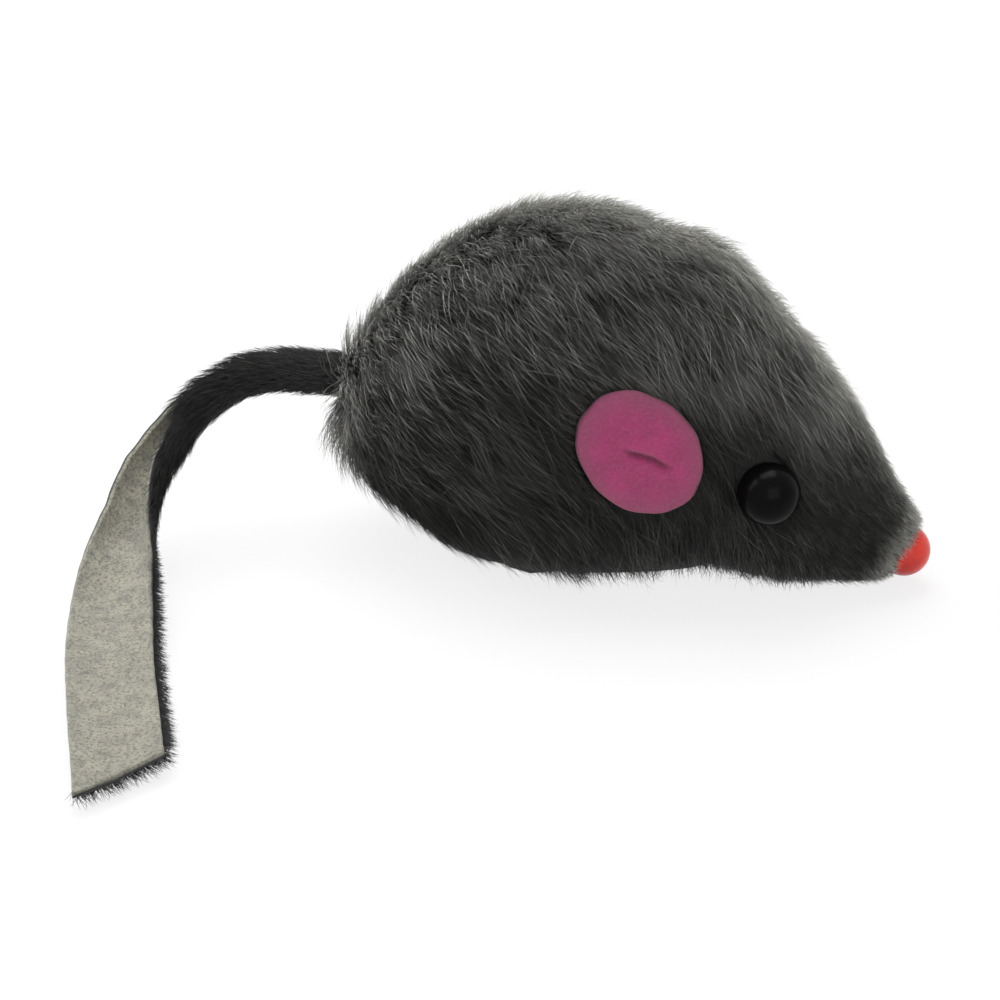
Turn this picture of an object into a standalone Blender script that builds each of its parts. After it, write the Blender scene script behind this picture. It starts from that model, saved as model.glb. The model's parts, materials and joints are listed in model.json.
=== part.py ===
# Clockwork mouse: a furred body on a moulded shell, with a wind-up motor, wheels and a key.
# Frame while modelling: +X to the nose, +Y to the mouse's left, floor at Z = 0, metres.
import math

import bmesh
import bpy
import numpy as np
from mathutils import Matrix, Vector

# Furred body
BODY_LENGTH = 0.0765
BODY_HEIGHT = 0.0453
BODY_WIDTH = 0.0428
BODY_REAR_X = -0.0375
RUMP_ROUND = 0.008
SNOUT_ROUND = 0.002
BODY_STATIONS = (  # share of length, top and underside as shares of height, share of width
    (0.000, 0.585, 0.320, 0.33),
    (0.040, 0.667, 0.238, 0.46),
    (0.115, 0.790, 0.159, 0.65),
    (0.240, 0.936, 0.060, 0.88),
    (0.385, 1.000, 0.033, 1.00),
    (0.530, 0.969, 0.027, 0.85),
    (0.657, 0.900, 0.053, 0.71),
    (0.774, 0.704, 0.025, 0.58),
    (0.870, 0.512, 0.020, 0.38),
    (0.938, 0.313, 0.027, 0.24),
    (1.000, 0.177, 0.044, 0.12),
)
SECTION_CENTRE = 0.46  # height of a section's widest line, as a share of that section
UPPER_POWER = 2.1
FUR_LOWER_POWER = 3.0
SHELL_LOWER_POWER = 4.5
PELT_THICKNESS = 0.0042
PELT_UNDER = 0.0026
PELT_FRONT = 0.0085
SHELL_WALL = 0.0015
GAP = 0.0003
FUR_SIDES = 24
FUR_RINGS = 11
SHELL_SIDES = 18
SHELL_RINGS = 9
END_RINGS = 4

# Snout, nose, eyes and ears
SNOUT_CUT_SLOPE = math.radians(29.0)
NOSE_RADIUS = 0.0033
NOSE_BACK_SET = 0.0027
NOSE_Z = 0.0044
STEM_RADIUS = 0.0010
STEM_REACH = 0.0016
EYE_RADIUS = 0.0038
EYE_X = 0.0205
EYE_Z = 0.0171
EYE_PROUD = 0.0004
EAR_LONG = 0.0175
EAR_SHORT = 0.0137
EAR_FELT = 0.0012
EAR_X = 0.0057
EAR_Z = 0.0223
EAR_TURN = math.radians(50.0)
TONGUE_WIDTH = 0.0070
TONGUE_THICKNESS = 0.0013

# Tail: rolled pelt at the root that opens into a flat strip on the floor
TAIL_ROUTE = (  # x, y, z, half width, half thickness
    (-0.0305, 0.0000, 0.0209, 0.0017, 0.0008),
    (-0.0345, 0.0000, 0.0209, 0.0020, 0.0016),
    (-0.0390, 0.0000, 0.0208, 0.0027, 0.0027),
    (-0.0450, -0.0002, 0.0205, 0.0028, 0.0028),
    (-0.0504, -0.0022, 0.0192, 0.0028, 0.0028),
    (-0.0546, -0.0066, 0.0152, 0.0030, 0.0026),
    (-0.0580, -0.0138, 0.0096, 0.0033, 0.0022),
    (-0.0589, -0.0218, 0.0047, 0.0039, 0.0017),
    (-0.0565, -0.0312, 0.0020, 0.0047, 0.0014),
    (-0.0526, -0.0435, 0.0016, 0.0052, 0.0013),
    (-0.0476, -0.0555, 0.0016, 0.0052, 0.0013),
    (-0.0424, -0.0675, 0.0016, 0.0052, 0.0013),
)
TAIL_RINGS = 23
TAIL_SIDES = 12
TAIL_POWER = 3.0
TAIL_SLANT = 0.63  # the free end is cut on the slant: setback per unit of width
TAIL_SLANT_LENGTH = 0.010

# Base plate, screws and front roller
AXLE_ABOVE_PLATE = 0.0026
PLATE_THICKNESS = 0.0016
PLATE_CENTRE_X = -0.0034
PLATE_HALF_LENGTH = 0.0180
PLATE_HALF_WIDTH = 0.0126
PLATE_POWER = 3.5
PLATE_TAPER = 0.34  # share of the width lost at the front end
RIM_WIDTH = 0.0012
BOSS_HEIGHT = 0.0045
BOSS_RADIUS = 0.0022
SCREW_REAR_INSET = 0.0024  # rear screw, from the plate's rear end
SCREW_SIDE_INSET = 0.0037  # side screws, from the plate's widest line
SCREW_SIDE_SHARE = 0.30  # side screws, share of the way from the plate's centre to its front end
SCREW_RADIUS = 0.0007
SCREW_LENGTH = 0.0046
SCREW_HEAD_RADIUS = 0.0015
SCREW_HEAD_HEIGHT = 0.0007
ROLLER_X = 0.0090
ROLLER_RADIUS = 0.0040
ROLLER_WIDTH = 0.0060
ROLLER_PIN_RADIUS = 0.0008
LUG_THICKNESS = 0.0015
LUG_LENGTH = 0.0044
LUG_TOP = 0.0062
LUG_BOTTOM = 0.0022

# Motor: gear train, plates and arbors, all turning about Y
MODULE = 0.0004
PRESSURE_ANGLE = math.radians(20.0)
ADDENDUM = 0.8
DEDENDUM = 1.2
BACKLASH = 0.00012
GREAT_TEETH = 42
SECOND_TEETH = 30
PINION_TEETH = 10
AXLE_X = -0.0095
WHEEL_RADIUS = 0.0070
AXLE_TO_SECOND = math.radians(40.0)
SECOND_TO_WINDING = math.radians(110.0)
RUNNING = 0.00015  # radial clearance of a shaft in its hole
PLATE_INSIDE = 0.0050
MOTOR_PLATE = 0.0009
PLATE_MARGIN = 0.0022
BEARING_MARGIN = 0.0045
TAB_WIDTH = 0.0025
TAB_PROUD = 0.0003
PILLAR_RADIUS = 0.0012
TENON_RADIUS = 0.0008
PILLAR_CLEAR = 0.0006
FRONT_PILLAR_ANGLE = math.radians(-8.0)
REAR_PILLAR_ANGLE = math.radians(165.0)
LOW_REAR_PILLAR_X = -0.0135
LOW_REAR_PILLAR_RISE = 0.0051
LOW_FRONT_PILLAR_X = 0.0045
LOW_FRONT_PILLAR_RISE = 0.0036
ARBOR_RADIUS = 0.00125
SECOND_ARBOR_RADIUS = 0.0008
AXLE_RADIUS = 0.0009
GEAR_THICKNESS = 0.0010
PINION_LENGTH = 0.0016
SPRING_Y = -0.0027
RATCHET_Y = 0.0002
GREAT_Y = 0.0016
SECOND_Y = 0.0035
COLLAR_RADIUS = 0.0020
COLLAR_LENGTH = 0.0016
SPOKE_HOLES = 5
SPOKE_HOLE_RADIUS = 0.0016
SPOKE_CIRCLE_RADIUS = 0.0051
RATCHET_TEETH = 12
RATCHET_RADIUS = 0.0036
RATCHET_DEPTH = 0.0007
RATCHET_SLOPE = 0.96  # share of the pitch that a tooth's slope takes
CLICK_CIRCLE_RADIUS = 0.0066
CLICK_ANGLE = math.radians(80.0)
CLICK_SWEEP = math.radians(62.0)
CLICK_STRIP = 0.00035
CLICK_EYE_OPEN = math.radians(36.0)
RIVET_RADIUS = 0.0006
SPRING_TURNS = 6
SPRING_STRIP = 0.0003
SPRING_WIDTH = 0.0038
SPRING_OUTER = 0.0070
HOOK_SWEEP = math.radians(230.0)

# Wheels and key
WHEEL_INSIDE = 0.0071
WHEEL_WIDTH = 0.0023
WHEEL_SIDE_GAP = 0.0004
TYRE_THICKNESS = 0.0011
HUB_RADIUS = 0.0020
WEB_RECESS = 0.0006
KEY_STAND_OFF = 0.0009
KEY_HUB_RADIUS = 0.0022
KEY_HUB_LENGTH = 0.0052
KEY_SQUARE = 0.0017
KEY_BOW_RADIUS = 0.0044
KEY_BOW_SPREAD = 0.0042
KEY_BOW_REACH = 0.0044
KEY_BOW_THICKNESS = 0.0014
KEY_HOLE_RADIUS = 0.0017
KEY_CLEAR = 0.0008

QUARTER = math.pi / 2
TURN_STEPS = 16
SMALL_STEPS = 12
BEAD_STEPS = 16
BEAD_ROWS = 9
PLATE_STEPS = 48
EAR_STEPS = 32
FLANK_POINTS = 3
CLICK_STEPS = 9
SPRING_STEPS = 20  # points on each turn
LEAD_STEPS = 6
HOOK_STEPS = 9
BOW_STEPS = 28
SHARP_EDGE = math.radians(40.0)
WELD = 1e-6

for item in list(bpy.data.objects):
    bpy.data.objects.remove(item, do_unlink=True)

parts = bpy.data.collections.new("clockwork_mouse")
cutters = bpy.data.collections.new("cutters")
bpy.context.scene.collection.children.link(parts)
bpy.context.scene.collection.children.link(cutters)


def finish(name, colour, roughness, metallic):
    made = bpy.data.materials.new(name)
    made.use_nodes = True
    shader = made.node_tree.nodes["Principled BSDF"]
    shader.inputs["Base Color"].default_value = (*colour, 1.0)
    shader.inputs["Roughness"].default_value = roughness
    shader.inputs["Metallic"].default_value = metallic
    made.diffuse_color = (*colour, 1.0)
    return made


fur = finish("grey_fur", (0.045, 0.045, 0.044), 0.90, 0.0)
felt = finish("pink_felt", (0.36, 0.045, 0.15), 0.95, 0.0)
red_gloss = finish("red_bead", (0.62, 0.05, 0.04), 0.30, 0.0)
black_gloss = finish("black_bead", (0.006, 0.006, 0.006), 0.12, 0.0)
black_plastic = finish("black_plastic", (0.02, 0.02, 0.02), 0.45, 0.0)
grey_plastic = finish("grey_plastic", (0.16, 0.16, 0.17), 0.50, 0.0)
rubber = finish("rubber", (0.015, 0.015, 0.015), 0.80, 0.0)
tinplate = finish("tinplate", (0.55, 0.55, 0.53), 0.35, 1.0)
steel = finish("steel", (0.46, 0.46, 0.47), 0.28, 1.0)
brass = finish("brass", (0.68, 0.47, 0.18), 0.30, 1.0)
spring_steel = finish("spring_steel", (0.12, 0.14, 0.20), 0.32, 1.0)


def axis_empty(name, place, parent):
    made = bpy.data.objects.new(name, None)
    made.location = place
    made.parent = parent
    parts.objects.link(made)
    return made


root = axis_empty("mouse_root", (0.0, 0.0, 0.0), None)


def keep(name, mesh, material, parent=root, place=(0.0, 0.0, 0.0), turn=(0.0, 0.0, 0.0)):
    made = bpy.data.objects.new(name, mesh)
    made.location = place
    made.rotation_euler = turn
    made.parent = parent
    made.data.materials.clear()
    made.data.materials.append(material)
    parts.objects.link(made)
    return made


def cutter(name, mesh, matrix=Matrix()):
    made = bpy.data.objects.new(name, mesh)
    made.matrix_world = root.matrix_world @ matrix
    made.hide_render = True
    made.display_type = "WIRE"
    cutters.objects.link(made)
    return made


def boolean(target, tool, operation="DIFFERENCE", solver="EXACT"):
    step = target.modifiers.new(tool.name, "BOOLEAN")
    step.operation = operation
    step.solver = solver
    step.object = tool


def from_bmesh(name, work):
    mesh = bpy.data.meshes.new(name)
    bmesh.ops.recalc_face_normals(work, faces=work.faces)
    work.to_mesh(mesh)
    work.free()
    return mesh


def smooth(mesh):
    mesh.shade_smooth()
    mesh.set_sharp_from_angle(angle=SHARP_EDGE)
    return mesh


def box_mesh(name, size, centre=(0.0, 0.0, 0.0)):
    work = bmesh.new()
    bmesh.ops.create_cube(work, size=1.0, matrix=Matrix.LocRotScale(centre, None, size))
    return from_bmesh(name, work)


def cylinder_mesh(name, radius, low, high, sides=TURN_STEPS):
    work = bmesh.new()
    middle = Matrix.Translation((0.0, 0.0, (low + high) / 2)) @ Matrix.Rotation(math.pi / sides, 4, "Z")
    bmesh.ops.create_cone(work, cap_ends=True, segments=sides, radius1=radius, radius2=radius,
                          depth=high - low, matrix=middle)
    return from_bmesh(name, work)


# A flat piece: filled outlines, the first one outside and the rest holes, spread about local Z = 0
def flat_mesh(name, outlines, thickness):
    curve = bpy.data.curves.new(name, "CURVE")
    curve.dimensions = "2D"
    curve.fill_mode = "BOTH"
    curve.extrude = thickness / 2
    for outline in outlines:
        spline = curve.splines.new("POLY")
        spline.points.add(len(outline) - 1)
        for point, (x, y) in zip(spline.points, outline):
            point.co = (x, y, 0.0, 1.0)
        spline.use_cyclic_u = True
    drawn = bpy.data.objects.new(name, curve)
    cutters.objects.link(drawn)
    bpy.context.view_layer.update()
    mesh = bpy.data.meshes.new_from_object(drawn.evaluated_get(bpy.context.evaluated_depsgraph_get()))
    bpy.data.objects.remove(drawn)
    work = bmesh.new()
    work.from_mesh(mesh)
    bmesh.ops.remove_doubles(work, verts=work.verts, dist=WELD)
    bpy.data.meshes.remove(mesh)
    return from_bmesh(name, work)


def circle(radius, centre=(0.0, 0.0), sides=TURN_STEPS):
    angles = [math.tau * i / sides for i in range(sides)]
    return [(centre[0] + radius * math.cos(a), centre[1] + radius * math.sin(a)) for a in angles]


def polar(radius, angle):
    return radius * math.cos(angle), radius * math.sin(angle)


# A turned piece: radius and distance along local Z, from the top down; a ring's profile closes on itself
def profile_mesh(name, profile, ring=False):
    mesh = bpy.data.meshes.new(name)
    edges = [(i, i + 1) for i in range(len(profile) - 1)]
    if ring:
        edges.append((len(profile) - 1, 0))
    mesh.from_pydata([(r, 0.0, z) for r, z in profile], edges, [])
    return mesh


def turn_round(made, steps):
    screw = made.modifiers.new("turn", "SCREW")
    screw.axis = "Z"
    screw.steps = steps
    screw.render_steps = steps
    screw.use_merge_vertices = True
    screw.merge_threshold = WELD
    screw.use_smooth_shade = True


def turned(name, profile, material, ring=False, steps=TURN_STEPS, **placing):
    made = keep(name, profile_mesh(name, profile, ring), material, **placing)
    turn_round(made, steps)
    return made


# Local X, Y of a flat or turned motor piece become X, Z, and its local Z runs along -Y
ACROSS = (QUARTER, 0.0, 0.0)


def rod(radius, y_low, y_high):
    return [(0.0, -y_low), (radius, -y_low), (radius, -y_high), (0.0, -y_high)]


def ring_profile(inner, outer, y_low, y_high):
    return [(inner, -y_low), (outer, -y_low), (outer, -y_high), (inner, -y_high)]


# Body surface: stations joined by cubic pieces whose slopes are averaged at each station
stations = np.array(BODY_STATIONS)
station_x = BODY_REAR_X + stations[:, 0] * BODY_LENGTH
station_top = stations[:, 1] * BODY_HEIGHT
station_under = stations[:, 2] * BODY_HEIGHT
station_half = stations[:, 3] * BODY_WIDTH / 2
BODY_FRONT_X = BODY_REAR_X + BODY_LENGTH


def along(x, values):
    slopes = np.gradient(values, station_x)
    i = np.clip(np.searchsorted(station_x, x) - 1, 0, len(station_x) - 2)
    step = station_x[i + 1] - station_x[i]
    t = (x - station_x[i]) / step
    start = (1 + 2 * t) * (1 - t) ** 2 * values[i] + t * (1 - t) ** 2 * step * slopes[i]
    end = t * t * (3 - 2 * t) * values[i + 1] + t * t * (t - 1) * step * slopes[i + 1]
    return start + end


# Section of the body sunk in by a depth: widest height, rise, drop and half width
def section(x, depth, under):
    top = along(x, station_top) - depth
    low = along(x, station_under) + under
    centre = low + SECTION_CENTRE * (top - low)
    return centre, top - centre, centre - low, along(x, station_half) - depth


def body_half_width(x, z):
    centre, rise, drop, half = section(x, 0.0, 0.0)
    upper = z > centre
    share = (z - centre) / (rise if upper else -drop)
    power = UPPER_POWER if upper else FUR_LOWER_POWER
    return half * (1 - share ** power) ** (1 / power)


def signed_power(value, power):
    return np.sign(value) * np.abs(value) ** power


# Closed egg of superellipse rings, rounded off over the given lengths at both ends
def loft_mesh(name, depth, under, lower_power, ends, rounds, sides, middle_rings):
    rear, front = ends
    rear_round, front_round = rounds
    bend = np.linspace(0.0, QUARTER, END_RINGS + 1)[1:]
    middle = np.linspace(rear + rear_round, front - front_round, middle_rings + 2)[1:-1]
    rear_x = rear + rear_round * (1 - np.cos(bend))
    front_x = front - front_round * (1 - np.cos(bend[::-1]))
    ring_x = np.concatenate([rear_x, middle, front_x])
    shrink = np.concatenate([np.sin(bend), np.ones(middle_rings), np.sin(bend[::-1])])
    angle = np.arange(sides) * math.tau / sides
    power = np.where(np.sin(angle) >= 0, 2 / UPPER_POWER, 2 / lower_power)
    across = signed_power(np.cos(angle), power)
    upward = signed_power(np.sin(angle), power)
    points = []
    for x, f in zip(ring_x, shrink):
        centre, rise, drop, half = section(x, depth, under)
        height = np.where(upward >= 0, rise, drop) * upward
        points += [(x, f * half * a, centre + f * h) for a, h in zip(across, height)]
    work = bmesh.new()
    verts = [work.verts.new(p) for p in points]
    rings = [verts[i:i + sides] for i in range(0, len(verts), sides)]
    for ring, after in zip(rings, rings[1:]):
        for i in range(sides):
            j = (i + 1) % sides
            work.faces.new((ring[i], ring[j], after[j], after[i]))
    for ring, x in ((rings[0], rear), (rings[-1], front)):
        pole = work.verts.new((x, 0.0, section(x, depth, under)[0]))
        for i in range(sides):
            work.faces.new((pole, ring[i], ring[(i + 1) % sides]))
    return smooth(from_bmesh(name, work))


def inner_loft(name, depth, under):
    rear = BODY_REAR_X + depth
    front = BODY_FRONT_X - PELT_FRONT - (depth - PELT_THICKNESS)
    rounds = (RUMP_ROUND, PELT_THICKNESS)
    ends = (rear, front)
    return loft_mesh(name, depth, under, SHELL_LOWER_POWER, ends, rounds, SHELL_SIDES, SHELL_RINGS)


# Base plate outline, grown or shrunk by an offset
def plate_outline(offset):
    angle = np.arange(PLATE_STEPS) * math.tau / PLATE_STEPS
    ahead = signed_power(np.cos(angle), 2 / PLATE_POWER)
    aside = signed_power(np.sin(angle), 2 / PLATE_POWER) * (1 - PLATE_TAPER * np.maximum(ahead, 0.0))
    x = PLATE_CENTRE_X + (PLATE_HALF_LENGTH + offset) * ahead
    y = (PLATE_HALF_WIDTH + offset) * aside
    return list(zip(x.tolist(), y.tolist()))


def plate_prism(name, offset, low, high):
    mesh = flat_mesh(name, [plate_outline(offset)], high - low)
    return cutter(name, mesh, Matrix.Translation((0.0, 0.0, (low + high) / 2)))


# Local frame on the fur at a given x, z and side: Z out of the fur, X along the body
def fur_frame(x, z, side, proud):
    step = GAP
    y = body_half_width(x, z)
    slope_x = (body_half_width(x + step, z) - body_half_width(x - step, z)) / (2 * step)
    slope_z = (body_half_width(x, z + step) - body_half_width(x, z - step)) / (2 * step)
    out = Vector((-slope_x, side, -slope_z)).normalized()
    forward = (Vector((1.0, 0.0, 0.0)) - out.x * out).normalized()
    frame = Matrix((forward, out.cross(forward), out)).transposed().to_4x4()
    frame.translation = Vector((x, side * y, z)) + out * proud
    return frame


# A point at a distance and an angle from another, in the upright plane along the body
def reach(start, distance, angle):
    x, z = polar(distance, angle)
    return start + Vector((x, 0.0, z))


# Joint axes
second_reach = MODULE * (SECOND_TEETH + PINION_TEETH) / 2
winding_reach = MODULE * (GREAT_TEETH + PINION_TEETH) / 2
drive_at = Vector((AXLE_X, 0.0, WHEEL_RADIUS))
second_at = reach(drive_at, second_reach, AXLE_TO_SECOND)
winding_at = reach(second_at, winding_reach, SECOND_TO_WINDING)
roller_at = Vector((ROLLER_X, 0.0, ROLLER_RADIUS))
key_axis = axis_empty("key_axis", winding_at, root)
great_axis = axis_empty("great_wheel_axis", winding_at, root)
second_axis = axis_empty("second_axis", second_at, root)
drive_axis = axis_empty("drive_axis", drive_at, root)
roller_axis = axis_empty("roller_axis", roller_at, root)

plate_top = WHEEL_RADIUS - AXLE_ABOVE_PLATE
plate_under = plate_top - PLATE_THICKNESS
shell_seat = plate_top + GAP
side_screw_x = PLATE_CENTRE_X + SCREW_SIDE_SHARE * PLATE_HALF_LENGTH
side_screw_y = PLATE_HALF_WIDTH - SCREW_SIDE_INSET
screw_places = {
    "rear": (PLATE_CENTRE_X - PLATE_HALF_LENGTH + SCREW_REAR_INSET, 0.0),
    "left": (side_screw_x, side_screw_y),
    "right": (side_screw_x, -side_screw_y),
}
opening_reach = 2 * WHEEL_RADIUS
shell_depth = PELT_THICKNESS + GAP
shell_inside = shell_depth + SHELL_WALL
shell_under = PELT_UNDER + GAP
through_wall = shell_inside + STEM_REACH
nose_at = Vector((BODY_FRONT_X - NOSE_BACK_SET, 0.0, NOSE_Z))
shell_front_x = BODY_FRONT_X - PELT_FRONT
shell_nose = Vector((shell_front_x - GAP, 0.0, section(shell_front_x, shell_depth, PELT_UNDER)[0]))
stem_way = (shell_nose - nose_at).normalized()
stem_length = (shell_nose - nose_at).length + SHELL_WALL + STEM_REACH
nose_frame = Matrix.Translation(nose_at) @ (-stem_way).to_track_quat("Z", "Y").to_matrix().to_4x4()

# Pelt and shell
fur_mesh = loft_mesh("pelt", 0.0, 0.0, FUR_LOWER_POWER, (BODY_REAR_X, BODY_FRONT_X),
                     (RUMP_ROUND, SNOUT_ROUND), FUR_SIDES, FUR_RINGS)
pelt = keep("pelt", fur_mesh, fur)
shell = keep("body_shell", inner_loft("body_shell", shell_depth, shell_under), black_plastic)
boolean(pelt, cutter("pelt_hollow", inner_loft("pelt_hollow", PELT_THICKNESS, PELT_UNDER)))
hollow_mesh = inner_loft("shell_hollow", shell_inside, shell_under + SHELL_WALL)
boolean(shell, cutter("shell_hollow", hollow_mesh))
boolean(pelt, plate_prism("pelt_opening", GAP, -opening_reach, opening_reach))
boolean(shell, plate_prism("shell_opening", -RIM_WIDTH, -opening_reach, opening_reach))
for place, (x, y) in screw_places.items():
    boss_mesh = cylinder_mesh(f"boss_{place}", BOSS_RADIUS, plate_under, shell_seat + BOSS_HEIGHT)
    boolean(shell, cutter(f"boss_{place}", boss_mesh, Matrix.Translation((x, y, 0.0))), "UNION", "MANIFOLD")
boolean(shell, plate_prism("shell_recess", GAP, -opening_reach, shell_seat))

# The snout's fur ends on a slanted cut through the middle of the nose bead
cut_size = (BODY_WIDTH, BODY_WIDTH, BODY_HEIGHT)
cut_mesh = box_mesh("snout_cut", cut_size, (BODY_WIDTH / 2, 0.0, 0.0))
cut_frame = Matrix.Translation(nose_at) @ Matrix.Rotation(SNOUT_CUT_SLOPE, 4, "Y")
boolean(pelt, cutter("snout_cut", cut_mesh, cut_frame))


# A ball on a stem along -Z
def bead_profile(radius, stem_radius, stem_end):
    last = math.pi - math.asin(stem_radius / radius)
    arc = np.linspace(0.0, last, BEAD_ROWS)
    ball = [(radius * math.sin(a), radius * math.cos(a)) for a in arc]
    return ball + [(stem_radius, -stem_end), (0.0, -stem_end)]


# A glossy bead with its stem in one piece, and its seat in the pelt and the shell
def bead(name, radius, stem, material, frame):
    made = turned(name, bead_profile(radius, STEM_RADIUS, stem), material, steps=BEAD_STEPS)
    made.matrix_local = frame
    seat_profile = bead_profile(radius + GAP, STEM_RADIUS + GAP, stem + STEM_REACH)
    seat = cutter(f"{name}_seat", profile_mesh(f"{name}_seat", seat_profile), frame)
    turn_round(seat, BEAD_STEPS)
    boolean(pelt, seat)
    boolean(shell, seat)


bead("nose", NOSE_RADIUS, stem_length, red_gloss, nose_frame)
for side_name, side in (("left", 1.0), ("right", -1.0)):
    eye_frame = fur_frame(EYE_X, EYE_Z, side, EYE_PROUD)
    bead(f"eye_{side_name}", EYE_RADIUS, through_wall + EYE_PROUD, black_gloss, eye_frame)


def ellipse(long_radius, short_radius):
    angles = [math.tau * i / EAR_STEPS for i in range(EAR_STEPS)]
    return [(long_radius * math.cos(a), short_radius * math.sin(a)) for a in angles]


# Felt ear: a flat oval let into the fur, with a tongue tucked through pelt and shell
def ear(side_name, side):
    name = f"ear_{side_name}"
    frame = fur_frame(EAR_X, EAR_Z, side, -EAR_FELT / 2) @ Matrix.Rotation(side * EAR_TURN, 4, "Z")
    made = keep(name, flat_mesh(name, [ellipse(EAR_LONG / 2, EAR_SHORT / 2)], EAR_FELT), felt)
    made.matrix_local = frame
    tongue = (TONGUE_WIDTH, TONGUE_THICKNESS, through_wall)
    tongue_mesh = box_mesh(f"{name}_tongue", tongue, (0.0, 0.0, -through_wall / 2))
    boolean(made, cutter(f"{name}_tongue", tongue_mesh, frame), "UNION")
    pocket_floor = EAR_FELT / 2 + GAP
    pocket_outline = ellipse(EAR_LONG / 2 + GAP, EAR_SHORT / 2 + GAP)
    pocket_mesh = flat_mesh(f"{name}_pocket", [pocket_outline], EAR_LONG)
    pocket_frame = frame @ Matrix.Translation((0.0, 0.0, EAR_LONG / 2 - pocket_floor))
    boolean(pelt, cutter(f"{name}_pocket", pocket_mesh, pocket_frame))
    slot_size = (TONGUE_WIDTH + 2 * GAP, TONGUE_THICKNESS + 2 * GAP, 2 * through_wall)
    slot_mesh = box_mesh(f"{name}_slot", slot_size, (0.0, 0.0, -through_wall))
    slot = cutter(f"{name}_slot", slot_mesh, frame)
    boolean(pelt, slot)
    boolean(shell, slot)


ear("left", 1.0)
ear("right", -1.0)


# Tail: rings along a smooth route, each a flattened superellipse; the last ones lean to the slanted cut
def route_point(t):
    i = min(int(t), len(TAIL_ROUTE) - 2)
    u = t - i
    rows = [np.array(TAIL_ROUTE[min(max(k, 0), len(TAIL_ROUTE) - 1)]) for k in range(i - 1, i + 3)]
    bend = (rows[2] - rows[0]) / 2
    lean = (rows[3] - rows[1]) / 2
    hold = (1 + 2 * u) * (1 - u) ** 2 * rows[1] + u * (1 - u) ** 2 * bend
    return hold + u * u * (3 - 2 * u) * rows[2] + u * u * (u - 1) * lean


def tail_mesh(name, grow):
    spots = np.linspace(0.0, len(TAIL_ROUTE) - 1, TAIL_RINGS)
    rows = np.array([route_point(t) for t in spots])
    ways = np.gradient(rows[:, :3], axis=0)
    left_over = np.linalg.norm(rows[-1, :3] - rows[:, :3], axis=1)
    angle = np.arange(TAIL_SIDES) * math.tau / TAIL_SIDES
    across = signed_power(np.cos(angle), 2 / TAIL_POWER)
    upward = signed_power(np.sin(angle), 2 / TAIL_POWER)
    work = bmesh.new()
    rings = []
    for row, way, left in zip(rows, ways, left_over):
        tangent = way / np.linalg.norm(way)
        level = np.array((-tangent[1], tangent[0], 0.0))
        wide = level / np.linalg.norm(level)
        thick = np.cross(tangent, wide)
        slant = TAIL_SLANT * max(0.0, 1 - left / TAIL_SLANT_LENGTH)
        width = np.outer((row[3] + grow) * across, wide - slant * tangent)
        height = np.outer((row[4] + grow) * upward, thick)
        rings.append([work.verts.new(point) for point in row[:3] + width + height])
    for ring, after in zip(rings, rings[1:]):
        for i in range(TAIL_SIDES):
            j = (i + 1) % TAIL_SIDES
            work.faces.new((ring[i], ring[j], after[j], after[i]))
    work.faces.new(rings[0])
    work.faces.new(rings[-1])
    return smooth(from_bmesh(name, work))


keep("tail", tail_mesh("tail", 0.0), fur)
tail_way = cutter("tail_way", tail_mesh("tail_way", GAP))
boolean(pelt, tail_way)
boolean(shell, tail_way)

# Holes for the winding arbor on the left side
arbor_hole = cutter("arbor_hole", cylinder_mesh("arbor_hole", ARBOR_RADIUS + KEY_CLEAR, 0.0, BODY_WIDTH),
                    Matrix.Translation(winding_at) @ Matrix.Rotation(-QUARTER, 4, "X"))
boolean(pelt, arbor_hole)
boolean(shell, arbor_hole)


# Base plate with wheel slots, roller slot and lugs, tab slots and screw holes
def rectangle(x_low, x_high, y_low, y_high):
    return [(x_low, y_low), (x_high, y_low), (x_high, y_high), (x_low, y_high)]


lug_inside = ROLLER_WIDTH / 2 + GAP
tab_starts = (LOW_REAR_PILLAR_X - TAB_WIDTH / 2, LOW_FRONT_PILLAR_X - TAB_WIDTH)
slot_reach = math.sqrt(WHEEL_RADIUS ** 2 - AXLE_ABOVE_PLATE ** 2) + WHEEL_SIDE_GAP
roller_reach = ROLLER_RADIUS + WHEEL_SIDE_GAP
roller_side = lug_inside + RUNNING
plate_cuts = [rectangle(ROLLER_X - roller_reach, ROLLER_X + roller_reach, -roller_side, roller_side)]
for side in (1.0, -1.0):
    inner = side * (WHEEL_INSIDE - WHEEL_SIDE_GAP)
    outer = side * (WHEEL_INSIDE + WHEEL_WIDTH + WHEEL_SIDE_GAP)
    plate_cuts.append(rectangle(AXLE_X - slot_reach, AXLE_X + slot_reach, *sorted((inner, outer))))
for x, y in screw_places.values():
    plate_cuts.append(circle(SCREW_RADIUS + GAP, (x, y), SMALL_STEPS))
plate_mesh = flat_mesh("chassis", [plate_outline(0.0)] + plate_cuts, PLATE_THICKNESS)
plate = keep("chassis", plate_mesh, black_plastic, place=(0.0, 0.0, plate_top - PLATE_THICKNESS / 2))
pin_reach = lug_inside + LUG_THICKNESS
pin_way = pin_reach + GAP
roller_bore = ROLLER_PIN_RADIUS + RUNNING
pin_mesh = cylinder_mesh("pin_hole", roller_bore, -pin_way, pin_way, SMALL_STEPS)
pin_hole = cutter("pin_hole", pin_mesh, Matrix.Translation(roller_at) @ Matrix.Rotation(QUARTER, 4, "X"))
tab_slot_size = (TAB_WIDTH + 2 * RUNNING, MOTOR_PLATE + 2 * RUNNING, 2 * PLATE_THICKNESS)
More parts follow.
